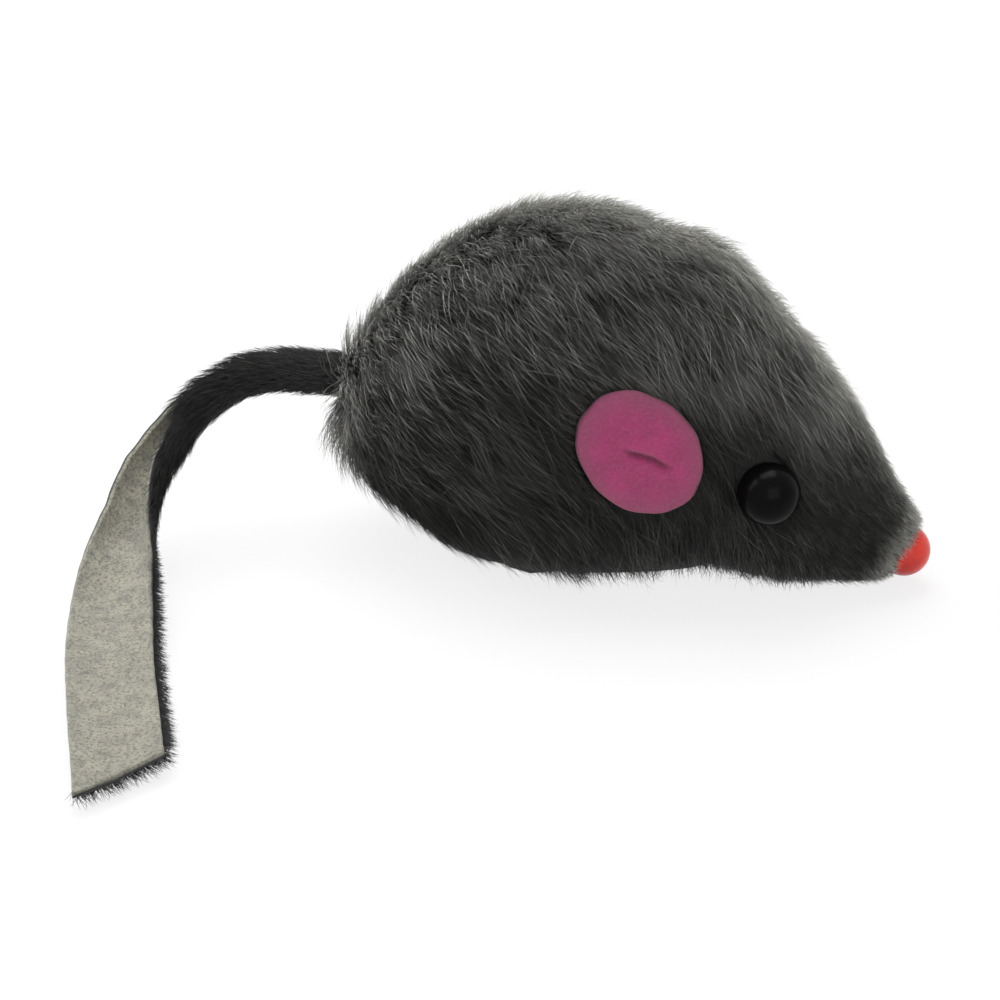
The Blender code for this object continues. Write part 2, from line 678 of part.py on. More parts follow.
for side_name, side in (("left", 1.0), ("right", -1.0)):
    for tab, start in zip(("rear", "front"), tab_starts):
        slot_name = f"tab_slot_{side_name}_{tab}"
        slot_y = side * (PLATE_INSIDE + MOTOR_PLATE / 2)
        slot_centre = (start + TAB_WIDTH / 2, slot_y, plate_top - PLATE_THICKNESS / 2)
        boolean(plate, cutter(slot_name, box_mesh(slot_name, tab_slot_size, slot_centre)))
    lug_centre = (ROLLER_X, side * (lug_inside + LUG_THICKNESS / 2), (LUG_TOP + LUG_BOTTOM) / 2)
    lug_mesh = box_mesh(f"lug_{side_name}", (LUG_LENGTH, LUG_THICKNESS, LUG_TOP - LUG_BOTTOM), lug_centre)
    boolean(plate, cutter(f"lug_{side_name}", lug_mesh), "UNION")
boolean(plate, pin_hole)

# Screws from below into the shell's bosses, their heads sunk into the plate
seat_top = plate_under + SCREW_HEAD_HEIGHT + GAP
head_top = seat_top - GAP / 2
head_foot = head_top - SCREW_HEAD_HEIGHT
screw_tip = head_top + SCREW_LENGTH
screw_profile = [(0.0, screw_tip), (SCREW_RADIUS, screw_tip), (SCREW_RADIUS, head_top),
                 (SCREW_HEAD_RADIUS, head_top), (SCREW_HEAD_RADIUS, head_foot), (0.0, head_foot)]
for place, (x, y) in screw_places.items():
    seat_radius = SCREW_HEAD_RADIUS + GAP
    seat_mesh = cylinder_mesh(f"seat_{place}", seat_radius, plate_under - GAP, seat_top)
    boolean(plate, cutter(f"seat_{place}", seat_mesh, Matrix.Translation((x, y, 0.0))))
    pilot_radius = SCREW_RADIUS + RUNNING
    pilot_mesh = cylinder_mesh(f"pilot_{place}", pilot_radius, 0.0, screw_tip + GAP, SMALL_STEPS)
    boolean(shell, cutter(f"pilot_{place}", pilot_mesh, Matrix.Translation((x, y, 0.0))))
    turned(f"chassis_screw_{place}", screw_profile, steel, steps=SMALL_STEPS, place=(x, y, 0.0))

# Front roller on its pin
turned("front_pin", rod(ROLLER_PIN_RADIUS, -pin_reach, pin_reach), steel, steps=SMALL_STEPS,
       place=roller_at, turn=ACROSS)
roller_profile = ring_profile(roller_bore, ROLLER_RADIUS, -ROLLER_WIDTH / 2, ROLLER_WIDTH / 2)
turned("front_roller", roller_profile, grey_plastic, ring=True, parent=roller_axis, turn=ACROSS)


# Involute gear outline with one tooth pointing along the given angle
def gear_outline(teeth, phase):
    pitch = MODULE * teeth / 2
    base = pitch * math.cos(PRESSURE_ANGLE)
    root_radius = pitch - DEDENDUM * MODULE
    radii = np.linspace(max(base, root_radius), pitch + ADDENDUM * MODULE, FLANK_POINTS)
    roll = np.arccos(base / radii)
    start = math.pi / (2 * teeth) - BACKLASH / (2 * pitch) + math.tan(PRESSURE_ANGLE) - PRESSURE_ANGLE
    half_angle = start - (np.tan(roll) - roll)
    side = list(zip(radii, half_angle))
    if root_radius < base:
        side.insert(0, (root_radius, start))
    tooth = [(r, -a) for r, a in side] + [(r, a) for r, a in reversed(side)]
    turns = [phase + math.tau * k / teeth for k in range(teeth)]
    return [(r * math.cos(c + a), r * math.sin(c + a)) for c in turns for r, a in tooth]


# Pinions mesh where the larger wheel's tooth meets a gap
second_phase = SECOND_TO_WINDING
great_phase = SECOND_TO_WINDING + math.pi
second_wheel_phase = AXLE_TO_SECOND + math.pi
second_pinion_phase = second_phase + math.pi / PINION_TEETH
axle_pinion_phase = AXLE_TO_SECOND + math.pi / PINION_TEETH


def gear(name, teeth, phase, bore, y, thickness, material, axis, holes=()):
    mesh = flat_mesh(name, [gear_outline(teeth, phase), circle(bore, sides=SMALL_STEPS), *holes], thickness)
    return keep(name, mesh, material, parent=axis, place=(0.0, y, 0.0), turn=ACROSS)


spoke_angles = [CLICK_ANGLE + math.tau * (k + 0.5) / SPOKE_HOLES for k in range(SPOKE_HOLES)]
spokes = [circle(SPOKE_HOLE_RADIUS, polar(SPOKE_CIRCLE_RADIUS, a), SMALL_STEPS) for a in spoke_angles]
rivet_hole = circle(RIVET_RADIUS + RUNNING, polar(CLICK_CIRCLE_RADIUS, CLICK_ANGLE), SMALL_STEPS)
great_bore = ARBOR_RADIUS + RUNNING
second_bore = SECOND_ARBOR_RADIUS + RUNNING
axle_bore = AXLE_RADIUS + RUNNING
gear("great_wheel", GREAT_TEETH, great_phase, great_bore, GREAT_Y, GEAR_THICKNESS, brass, great_axis,
     spokes + [rivet_hole])
gear("second_pinion", PINION_TEETH, second_pinion_phase, second_bore, GREAT_Y, PINION_LENGTH, steel,
     second_axis)
gear("second_wheel", SECOND_TEETH, second_wheel_phase, second_bore, SECOND_Y, GEAR_THICKNESS, brass,
     second_axis)
gear("axle_pinion", PINION_TEETH, axle_pinion_phase, axle_bore, SECOND_Y, PINION_LENGTH, steel, drive_axis)


# Ratchet wheel on the winding arbor and the leaf click riveted to the great wheel
def ratchet_outline():
    pitch = math.tau / RATCHET_TEETH
    outline = []
    for k in range(RATCHET_TEETH):
        outline.append(polar(RATCHET_RADIUS, k * pitch))
        outline.append(polar(RATCHET_RADIUS - RATCHET_DEPTH, (k + RATCHET_SLOPE) * pitch))
    return outline


ratchet_mesh = flat_mesh("ratchet_wheel", [ratchet_outline(), circle(great_bore)], GEAR_THICKNESS)
keep("ratchet_wheel", ratchet_mesh, steel, parent=key_axis, place=(0.0, RATCHET_Y, 0.0), turn=ACROSS)


# Closed outline of a strip of even thickness along a path
def strip_outline(path, thickness):
    points = np.array(path)
    way = np.gradient(points, axis=0)
    normal = np.column_stack([-way[:, 1], way[:, 0]]) / np.linalg.norm(way, axis=1)[:, None]
    sides = np.concatenate([points + normal * thickness / 2, (points - normal * thickness / 2)[::-1]])
    return sides.tolist()


rivet_top = RIVET_RADIUS + RUNNING + CLICK_STRIP
click_start = CLICK_CIRCLE_RADIUS - rivet_top
click_end = RATCHET_RADIUS + GAP
click_share = np.linspace(0.0, 1.0, CLICK_STEPS)
click_radius = click_start + (click_end - click_start) * click_share
click_path = [polar(r, CLICK_ANGLE - CLICK_SWEEP * s) for r, s in zip(click_radius, click_share)]
eye_angles = np.linspace(-math.pi, math.pi - CLICK_EYE_OPEN, CLICK_STEPS)
eye_centre = Vector(polar(CLICK_CIRCLE_RADIUS, CLICK_ANGLE))
eye_reach = RIVET_RADIUS + RUNNING + CLICK_STRIP / 2
eye_path = [tuple(eye_centre + eye_reach * Vector(polar(1.0, CLICK_ANGLE - a))) for a in reversed(eye_angles)]
click_outline = strip_outline(eye_path + click_path[1:], CLICK_STRIP)
click_mesh = flat_mesh("click_spring", [click_outline], GEAR_THICKNESS)
keep("click_spring", click_mesh, spring_steel, parent=great_axis, place=(0.0, RATCHET_Y, 0.0), turn=ACROSS)
rivet_x, rivet_z = polar(CLICK_CIRCLE_RADIUS, CLICK_ANGLE)
rivet_low = RATCHET_Y - GEAR_THICKNESS / 2
rivet_high = GREAT_Y + GEAR_THICKNESS / 2
turned("click_rivet", rod(RIVET_RADIUS, rivet_low, rivet_high), steel, steps=SMALL_STEPS, parent=great_axis,
       place=(rivet_x, 0.0, rivet_z), turn=ACROSS)

# Arbors: the winding arbor has a collar, and a square end for the key outside the fur
fur_y = body_half_width(winding_at.x, winding_at.z)
key_start = fur_y + KEY_STAND_OFF
pivot_end = PLATE_INSIDE + MOTOR_PLATE + GAP
collar_start = GREAT_Y + GEAR_THICKNESS / 2 + GAP
collar_end = collar_start + COLLAR_LENGTH
arbor_profile = [(0.0, pivot_end), (ARBOR_RADIUS, pivot_end), (ARBOR_RADIUS, -collar_start),
                 (COLLAR_RADIUS, -collar_start), (COLLAR_RADIUS, -collar_end), (ARBOR_RADIUS, -collar_end),
                 (ARBOR_RADIUS, -key_start), (0.0, -key_start)]
arbor = turned("winding_arbor", arbor_profile, steel, parent=key_axis, turn=ACROSS)
square_end = key_start + KEY_HUB_LENGTH - GAP
square_mesh = box_mesh("key_square", (KEY_SQUARE, square_end, KEY_SQUARE), (0.0, square_end / 2, 0.0))
boolean(arbor, cutter("key_square", square_mesh, Matrix.Translation(winding_at)), "UNION")
turned("second_arbor", rod(SECOND_ARBOR_RADIUS, -pivot_end, pivot_end), steel, steps=SMALL_STEPS,
       parent=second_axis, turn=ACROSS)
axle_end = WHEEL_INSIDE + WHEEL_WIDTH
turned("drive_axle", rod(AXLE_RADIUS, -axle_end, axle_end), steel, steps=SMALL_STEPS, parent=drive_axis,
       turn=ACROSS)


# Motor plates: a hull round the bearings and pillars, flat below, with two tabs into the base plate
def hull(points):
    ordered = sorted(set(points))

    def half(sequence):
        line = []
        for p in sequence:
            while len(line) > 1 and ((line[-1][0] - line[-2][0]) * (p[1] - line[-2][1])
                                     <= (line[-1][1] - line[-2][1]) * (p[0] - line[-2][0])):
                line.pop()
            line.append(p)
        return line[:-1]

    return half(ordered) + half(ordered[::-1])


pillar_reach = MODULE * GREAT_TEETH / 2 + ADDENDUM * MODULE + PILLAR_RADIUS + PILLAR_CLEAR


def upper_pillar(angle):
    x, z = polar(pillar_reach, angle)
    return winding_at.x + x, winding_at.z + z


pillars = {
    "low_rear": (LOW_REAR_PILLAR_X, plate_top + LOW_REAR_PILLAR_RISE),
    "low_front": (LOW_FRONT_PILLAR_X, plate_top + LOW_FRONT_PILLAR_RISE),
    "front": upper_pillar(FRONT_PILLAR_ANGLE),
    "rear": upper_pillar(REAR_PILLAR_ANGLE),
}
hull_points = circle(BEARING_MARGIN, (winding_at.x, winding_at.z))
for spot in pillars.values():
    hull_points += circle(PLATE_MARGIN, spot)
wall_ends = (LOW_REAR_PILLAR_X - PLATE_MARGIN, LOW_FRONT_PILLAR_X + PLATE_MARGIN)
hull_points += [(x, shell_seat) for x in wall_ends]
wall = hull(hull_points)
first = min(range(len(wall)), key=lambda k: (wall[k][1], wall[k][0]))
wall = wall[first:] + wall[:first]
tab_foot = plate_under - TAB_PROUD
tab_points = []
for start in tab_starts:
    end = start + TAB_WIDTH
    tab_points += [(start, shell_seat), (start, tab_foot), (end, tab_foot), (end, shell_seat)]
wall = wall[:1] + tab_points + wall[1:]
bearings = ((winding_at, ARBOR_RADIUS), (second_at, SECOND_ARBOR_RADIUS), (drive_at, AXLE_RADIUS))
wall_holes = [circle(r + RUNNING, (at.x, at.z), SMALL_STEPS) for at, r in bearings]
wall_holes += [circle(TENON_RADIUS + RUNNING, spot, SMALL_STEPS) for spot in pillars.values()]
for side_name, side in (("left", 1.0), ("right", -1.0)):
    name = f"motor_plate_{side_name}"
    keep(name, flat_mesh(name, [wall] + wall_holes, MOTOR_PLATE), tinplate,
         place=(0.0, side * (PLATE_INSIDE + MOTOR_PLATE / 2), 0.0), turn=ACROSS)

# Pillars between the plates, with tenons through them
shoulder = PLATE_INSIDE - RUNNING
tenon = PLATE_INSIDE + MOTOR_PLATE + RUNNING
pillar_profile = [(0.0, tenon), (TENON_RADIUS, tenon), (TENON_RADIUS, shoulder),
                  (PILLAR_RADIUS, shoulder), (PILLAR_RADIUS, -shoulder),
                  (TENON_RADIUS, -shoulder), (TENON_RADIUS, -tenon), (0.0, -tenon)]
for place, (x, z) in pillars.items():
    turned(f"pillar_{place}", pillar_profile, tinplate, steps=SMALL_STEPS, place=(x, 0.0, z), turn=ACROSS)

# Mainspring: a spiral strip from the arbor that hooks round the rear pillar
spring_inner = ARBOR_RADIUS + RUNNING + SPRING_STRIP
hook = PILLAR_RADIUS + RUNNING + SPRING_STRIP / 2
coil_angle = np.linspace(0.0, math.tau * SPRING_TURNS, SPRING_STEPS * SPRING_TURNS + 1)
coil_radius = spring_inner + (SPRING_OUTER - spring_inner) * coil_angle / coil_angle[-1]
lead = np.linspace(0.0, QUARTER, LEAD_STEPS + 1)[1:]
lead_radius = SPRING_OUTER + (pillar_reach - hook - SPRING_OUTER) * np.sin(lead) ** 2
spring_angle = np.concatenate([coil_angle, coil_angle[-1] + lead])
spring_radius = np.concatenate([coil_radius, lead_radius])
spring_turn = REAR_PILLAR_ANGLE + spring_angle[-1]
spring_path = [polar(r, spring_turn - a) for r, a in zip(spring_radius, spring_angle)]
hook_centre = Vector(polar(pillar_reach, REAR_PILLAR_ANGLE))
hook_angles = np.linspace(0.0, HOOK_SWEEP, HOOK_STEPS + 1)[1:]
spring_path += [tuple(hook_centre - hook * Vector(polar(1.0, REAR_PILLAR_ANGLE - a))) for a in hook_angles]
turn_gap = (SPRING_OUTER - spring_inner) / SPRING_TURNS - SPRING_STRIP
print(f"mainspring gap between turns {turn_gap * 1000:.2f} mm")
spring_mesh = flat_mesh("mainspring", [strip_outline(spring_path, SPRING_STRIP)], SPRING_WIDTH)
keep("mainspring", spring_mesh, spring_steel, place=(winding_at.x, SPRING_Y, winding_at.z), turn=ACROSS)

# Driven wheels with rubber tyres
rim = WHEEL_RADIUS - TYRE_THICKNESS
hub_start = PLATE_INSIDE + MOTOR_PLATE + WHEEL_SIDE_GAP
web_start = WHEEL_INSIDE + WEB_RECESS
web_end = axle_end - WEB_RECESS
rim_inside = rim - WEB_RECESS
wheel_profile = [(axle_bore, -hub_start), (HUB_RADIUS, -hub_start), (HUB_RADIUS, -web_start),
                 (rim_inside, -web_start), (rim_inside, -WHEEL_INSIDE), (rim, -WHEEL_INSIDE),
                 (rim, -axle_end), (rim_inside, -axle_end), (rim_inside, -web_end),
                 (HUB_RADIUS, -web_end), (HUB_RADIUS, -axle_end), (axle_bore, -axle_end)]
edge = TYRE_THICKNESS / 3
tyre_inner = rim + RUNNING
tyre_profile = [(tyre_inner, -WHEEL_INSIDE), (WHEEL_RADIUS - edge, -WHEEL_INSIDE),
                (WHEEL_RADIUS, -WHEEL_INSIDE - edge), (WHEEL_RADIUS, -axle_end + edge),
                (WHEEL_RADIUS - edge, -axle_end), (tyre_inner, -axle_end)]
for side_name, flip in (("left", 0.0), ("right", math.pi)):
    facing = (QUARTER, 0.0, flip)
    turned(f"drive_wheel_{side_name}", wheel_profile, grey_plastic, ring=True, parent=drive_axis, turn=facing)
    turned(f"drive_tyre_{side_name}", tyre_profile, rubber, ring=True, parent=drive_axis, turn=facing)

# Key: a hub over the square end, with a flat two-lobed bow
bow_y = key_start + KEY_HUB_LENGTH + KEY_BOW_REACH - KEY_HUB_RADIUS
lobes = [(side * KEY_BOW_SPREAD, bow_y) for side in (-1.0, 1.0)]
bow_outline = hull([point for spot in lobes for point in circle(KEY_BOW_RADIUS, spot, BOW_STEPS)])
bow_holes = [circle(KEY_HOLE_RADIUS, spot, SMALL_STEPS) for spot in lobes]
key_mesh = flat_mesh("winding_key", [bow_outline] + bow_holes, KEY_BOW_THICKNESS)
key = keep("winding_key", key_mesh, steel, parent=key_axis)
hub_mesh = cylinder_mesh("key_hub", KEY_HUB_RADIUS, key_start, bow_y)
hub = cutter("key_hub", hub_mesh, Matrix.Translation(winding_at) @ Matrix.Rotation(-QUARTER, 4, "X"))
boolean(key, hub, "UNION")
socket = KEY_SQUARE + 2 * RUNNING
socket_length = KEY_HUB_LENGTH + KEY_STAND_OFF
socket_mesh = box_mesh("key_socket", (socket, socket_length, socket), (0.0, fur_y + socket_length / 2, 0.0))
boolean(key, cutter("key_socket", socket_mesh, Matrix.Translation(winding_at)))

# The model stands with the middle of its footprint at the origin
bpy.context.view_layer.update()
graph = bpy.context.evaluated_depsgraph_get()
corners = [item.matrix_world @ Vector(c) for item in parts.objects if item.type == "MESH"
           for c in item.evaluated_get(graph).bound_box]
low = Vector([min(c[k] for c in corners) for k in range(3)])
high = Vector([max(c[k] for c in corners) for k in range(3)])
shift = Matrix.Translation((-(low.x + high.x) / 2, -(low.y + high.y) / 2, 0.0))
root.matrix_world = shift @ root.matrix_world
for item in cutters.objects:
    item.matrix_world = shift @ item.matrix_world
bpy.context.view_layer.update()
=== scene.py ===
import json
import math

import bmesh
import bpy
import numpy as np
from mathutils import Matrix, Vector


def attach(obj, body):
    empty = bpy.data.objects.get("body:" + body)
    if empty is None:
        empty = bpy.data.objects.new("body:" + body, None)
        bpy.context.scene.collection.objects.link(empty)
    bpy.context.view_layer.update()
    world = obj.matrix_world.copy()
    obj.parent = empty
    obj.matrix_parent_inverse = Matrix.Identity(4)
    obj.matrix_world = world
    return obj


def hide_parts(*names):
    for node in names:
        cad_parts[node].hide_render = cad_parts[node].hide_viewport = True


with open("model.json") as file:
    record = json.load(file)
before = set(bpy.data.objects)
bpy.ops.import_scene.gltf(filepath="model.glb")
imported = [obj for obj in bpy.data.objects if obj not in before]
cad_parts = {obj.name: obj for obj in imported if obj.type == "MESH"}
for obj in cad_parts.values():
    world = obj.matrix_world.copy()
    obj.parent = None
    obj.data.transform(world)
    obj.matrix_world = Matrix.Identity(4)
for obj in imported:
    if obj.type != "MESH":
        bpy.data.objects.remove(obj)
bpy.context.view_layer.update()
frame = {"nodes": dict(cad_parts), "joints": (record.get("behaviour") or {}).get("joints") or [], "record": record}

scene = bpy.context.scene
scene.view_settings.view_transform = "Standard"
rng = np.random.default_rng(11)
perMetre = 1000  # millimetres in a metre
xAxis, yAxis, zAxis = np.eye(3)

# The mouse is worked out in its own frame and shifted by mouseOrigin; the drive axle ties the two together
mouse = {"axleX": -0.0095, "keyX": -0.00693, "keyZ": 0.0219}
keyX, keyZ = mouse["keyX"], mouse["keyZ"]
driveAxle = next(j for j in frame["joints"] if j["name"] == "drive_spin")["pos_m"]
mouseOrigin = np.array([driveAxle[0] - mouse["axleX"], driveAxle[1], 0.0])


class Wire:
    # One shader socket. Arithmetic on wires adds Math nodes, or Vector Math where a colour or vector takes part
    def __init__(self, tree, socket=None):
        self.tree, self.socket = tree, socket

    def into(self, node, sockets):
        for key, value in sockets.items():
            if isinstance(value, Wire):
                self.tree.links.new(value.socket, node.inputs[key])
            else:
                node.inputs[key].default_value = value

    def make(self, kind, settings, sockets, out=0):  # any node: its type, settings, socket values or links
        node = self.tree.nodes.new(kind)
        for key, value in settings.items():
            setattr(node, key, value)
        self.into(node, sockets)
        return Wire(self.tree, node.outputs[out])

    def sum(self, how, a, b):
        wide = [isinstance(x, tuple) or isinstance(x, Wire) and x.socket.type in ("VECTOR", "RGBA") for x in (a, b)]
        if not any(wide):
            return self.make("ShaderNodeMath", {"operation": how}, {0: a, 1: b})
        a, b = ((x,) * 3 if isinstance(x, (int, float)) else x for x in (a, b))
        return self.make("ShaderNodeVectorMath", {"operation": how}, {0: a, 1: b})

    def __add__(self, other): return self.sum("ADD", self, other)
    def __radd__(self, other): return self.sum("ADD", other, self)
    def __sub__(self, other): return self.sum("SUBTRACT", self, other)
    def __rsub__(self, other): return self.sum("SUBTRACT", other, self)
    def __mul__(self, other): return self.sum("MULTIPLY", self, other)
    def __rmul__(self, other): return self.sum("MULTIPLY", other, self)
    def __truediv__(self, other): return self.sum("DIVIDE", self, other)
    def __rtruediv__(self, other): return self.sum("DIVIDE", other, self)
    def __abs__(self): return self.sum("ABSOLUTE", self, 0.0)
    def sine(self): return self.sum("SINE", self, 0.0)

    def ramp(self, low, high):  # 0 below low, 1 above high, smooth between
        settings = {"interpolation_type": "SMOOTHSTEP"}
        return self.make("ShaderNodeMapRange", settings, {"Value": self, "From Min": low, "From Max": high})

    def mix(self, a, b):  # colour a where this wire is 0, colour b where it is 1
        a, b = (x + (1.0,) if isinstance(x, tuple) else x for x in (a, b))
        return self.make("ShaderNodeMix", {"data_type": "RGBA"}, {0: self, 6: a, 7: b}, 2)

    def noise(self, scale, detail=3.0, rough=0.55):
        sockets = {"Vector": self, "Scale": scale, "Detail": detail, "Roughness": rough}
        return self.make("ShaderNodeTexNoise", {}, sockets)

    def bump(self, depth, strength=1.0):
        return self.make("ShaderNodeBump", {}, {"Height": self, "Distance": depth, "Strength": strength})


def newMaterial(name):
    material = bpy.data.materials.new(name)
    material.use_nodes = True
    wire = Wire(material.node_tree)
    return material, wire, material.node_tree.nodes["Principled BSDF"]


def objectSpot(wire):
    return wire.make("ShaderNodeTexCoord", {}, {}, "Object")


def mapAxes(wire, uvMap):  # the two axes of a piece's own map
    spot = wire.make("ShaderNodeUVMap", {"uv_map": uvMap}, {})
    return [wire.make("ShaderNodeSeparateXYZ", {}, {0: spot}, axis) for axis in "XY"]


def furMaterial(name, look):
    # Each hair lies on its own column of the map: across is its tone, upwards is the way from root to tip
    material, wire, shader = newMaterial(name)
    tone, along = mapAxes(wire, "OFBake")
    tint = along.ramp(look["tipFrom"], look["tipFull"]).mix(look["root"], look["tip"])
    wire.into(shader, {"Base Color": tint * (tone * look["gain"] + look["least"]), "Roughness": along * -0.12 + 0.62,
                       "Specular IOR Level": 0.35})
    return material


def suedeMaterial(name, look):
    # Flesh side of the pelt: cloudy pale ground, grey flecks and a short nap
    material, wire, shader = newMaterial(name)
    spot = objectSpot(wire)
    cloud = spot.noise(430.0, 5.0, 0.7)
    fleck = spot.noise(2700.0, 3.0, 0.75).ramp(0.47, 0.62)
    nap = spot.noise(3600.0, 3.0, 0.7)
    tint = cloud.ramp(0.3, 0.62).mix(look["dull"], look["pale"])
    tint = (fleck * 0.78).mix(tint, look["fleck"])
    if "furSide" in look:  # dark hair roots on the other face
        tint = mapAxes(wire, "cut")[0].ramp(-0.6, 0.2).mix(look["furSide"], tint)
    relief = (nap * 0.7 + cloud * 0.5).bump(0.00022, 0.9)
    wire.into(shader, {"Base Color": tint, "Roughness": nap * 0.12 + 0.84, "Normal": relief,
                       "Specular IOR Level": 0.2, "Sheen Weight": 0.15, "Sheen Roughness": 0.6})
    return material


def feltMaterial(name, look):
    # Pressed wool: mottled pink, fine crossing fibres, and painted shade along the fold where it is tucked in
    material, wire, shader = newMaterial(name)
    spot = objectSpot(wire)
    ahead, aside = mapAxes(wire, "cut")  # millimetres from the ear's middle
    mottle = spot.noise(310.0, 4.0, 0.62)
    fibre = spot.noise(2600.0, 3.0, 0.75)
    halfLong, halfTall = look["long"] / 2 * perMetre, look["tall"] / 2 * perMetre
    edge = (ahead * ahead / halfLong ** 2 + aside * aside / halfTall ** 2).ramp(0.25, 1.05)
    tint = mottle.ramp(0.34, 0.66).mix(look["dull"], look["bright"])
    tint = (edge * 0.7).mix(tint, look["edge"])
    tint = (fibre.ramp(0.42, 0.72) * 0.35).mix(tint, look["fibre"])
    # Painted shade in the fold's crease: a dark line that sways and frays with the fibres
    fray = look["foldFray"] * perMetre
    along, off = turned(ahead, aside, look["foldTurn"])
    sway = (along * (look["foldWaves"] / perMetre)).sine() * (look["foldSway"] * perMetre)
    off = off - sway - fibre * fray + fray / 2
    nearEnd, farEnd = (end * perMetre for end in look["foldEnds"])
    fold = 1.0 - abs(off).ramp(0.0, look["foldShade"] * perMetre)
    fold = fold * (1.0 - abs(along - look["foldAt"] * perMetre).ramp(nearEnd, farEnd))
    tint = (fold * (fibre * 0.9 + 0.15)).mix(tint, look["fold"])
    relief = (fibre * 0.8 + mottle * 0.6).bump(0.00016, 0.8)
    wire.into(shader, {"Base Color": tint, "Roughness": fibre * 0.1 + 0.85, "Normal": relief,
                       "Specular IOR Level": 0.15, "Sheen Weight": 0.2, "Sheen Roughness": 0.5})
    return material


def beadMaterial(name, look):
    # Moulded bead: even gloss with faint swirls and handling marks
    material, wire, shader = newMaterial(name)
    spot = objectSpot(wire)
    swirl = spot.noise(260.0, 3.0, 0.5)
    marks = spot.noise(2200.0, 2.0, 0.6)
    tint = swirl.ramp(0.35, 0.7).mix(look["deep"], look["bright"])
    wire.into(shader, {"Base Color": tint, "Roughness": marks * 0.1 + look["roughness"],
                       "Normal": swirl.bump(0.00002, 0.5), "Specular IOR Level": look["shine"]})
    return material


def plasticMaterial(name, look):
    # Moulded part: fine spark-eroded grain, slight flow clouds
    material, wire, shader = newMaterial(name)
    spot = objectSpot(wire)
    grain = spot.noise(5200.0, 2.0, 0.6)
    cloud = spot.noise(160.0, 3.0, 0.5)
    tint = cloud.ramp(0.3, 0.7).mix(look["deep"], look["bright"])
    wire.into(shader, {"Base Color": tint, "Roughness": grain * 0.16 + look["roughness"],
                       "Normal": grain.bump(0.00003, 0.6), "Specular IOR Level": 0.4})
    return material


def metalMaterial(name, look):
    # Sheet or bar metal: drawn streaks along one axis, dull patches and a trace of tarnish
    material, wire, shader = newMaterial(name)
    spot = objectSpot(wire)
    drawn = wire.make("ShaderNodeMapping", {}, {"Vector": spot, "Scale": look["streak"]}, "Vector")
    streak = drawn.noise(900.0, 4.0, 0.6)
    patch = spot.noise(210.0, 3.0, 0.6)
    stain = spot.noise(75.0, 4.0, 0.65).ramp(0.48, 0.72)
    tint = streak.ramp(0.3, 0.72).mix(look["deep"], look["bright"])
    tint = (stain * look["tarnish"]).mix(tint, look["stain"])
    rough = streak * 0.14 + patch * 0.16 + look["roughness"]
    wire.into(shader, {"Base Color": tint, "Roughness": rough, "Metallic": 1.0, "Normal": streak.bump(0.000012, 0.5)})
    return material


print("materials ready")


def unit(v):
    return v / (np.linalg.norm(v, axis=-1, keepdims=True) + 1e-12)


def smooth(value, low, high):  # 0 below low, 1 above high, smooth between
    t = np.clip((value - low) / (high - low), 0, 1)
    return t * t * (3 - 2 * t)


def fade(value, low, high):  # 1 below low, 0 above high
    return 1 - smooth(value, low, high)


def turned(a, b, angle):  # two axes turned by an angle
    return a * np.cos(angle) + b * np.sin(angle), b * np.cos(angle) - a * np.sin(angle)


def roundTurn(count):  # angles all the way round
    return np.arange(count) * math.tau / count


def circle(count, a, b):  # points all the way round, from two axes
    angle = roundTurn(count)[:, None]
    return np.cos(angle) * a + np.sin(angle) * b


def addObject(name, mesh, material):
    piece = bpy.data.objects.new(name, mesh)
    scene.collection.objects.link(piece)
    mesh.materials.append(material)
    mesh.polygons.foreach_set("use_smooth", np.ones(len(mesh.polygons), bool))
    return piece


def gridMesh(name, points, wrap=True, poles=True, cut=None):
    # Skin over a grid of rows and columns: columns join up where wrap is set, and each end row closes on its middle
    rows, cols = points.shape[:2]
    index = np.arange(rows * cols).reshape(rows, cols)
    right = np.roll(index, -1, 1) if wrap else index[:, 1:]
    left = index if wrap else index[:, :-1]
    faces = np.stack([left[:-1], right[:-1], right[1:], left[1:]], -1).reshape(-1, 4).tolist()
    flat = points.reshape(-1, 3)
    if poles:
        ends = np.array([points[0].mean(0), points[-1].mean(0)])
        first = np.full(cols, rows * cols)
        faces += np.stack([right[0], left[0], first], -1).tolist()
        faces += np.stack([left[-1], right[-1], first + 1], -1).tolist()
        flat = np.concatenate([flat, ends])
    mesh = bpy.data.meshes.new(name)
    mesh.from_pydata((flat + mouseOrigin).tolist(), [], faces)
    work = bmesh.new()
    work.from_mesh(mesh)
    bmesh.ops.recalc_face_normals(work, faces=work.faces)
    work.to_mesh(mesh)
    work.free()
    if cut is not None:  # the piece's own map, one place for each vertex, with both middles at 0
        cut = np.concatenate([cut, np.zeros((2, 2))])
        layer = mesh.uv_layers.new(name="cut")
        corner = np.empty(len(mesh.loops), np.int32)
        mesh.loops.foreach_get("vertex_index", corner)
        layer.uv.foreach_set("vector", cut[corner].astype(np.float32).ravel())
    return mesh


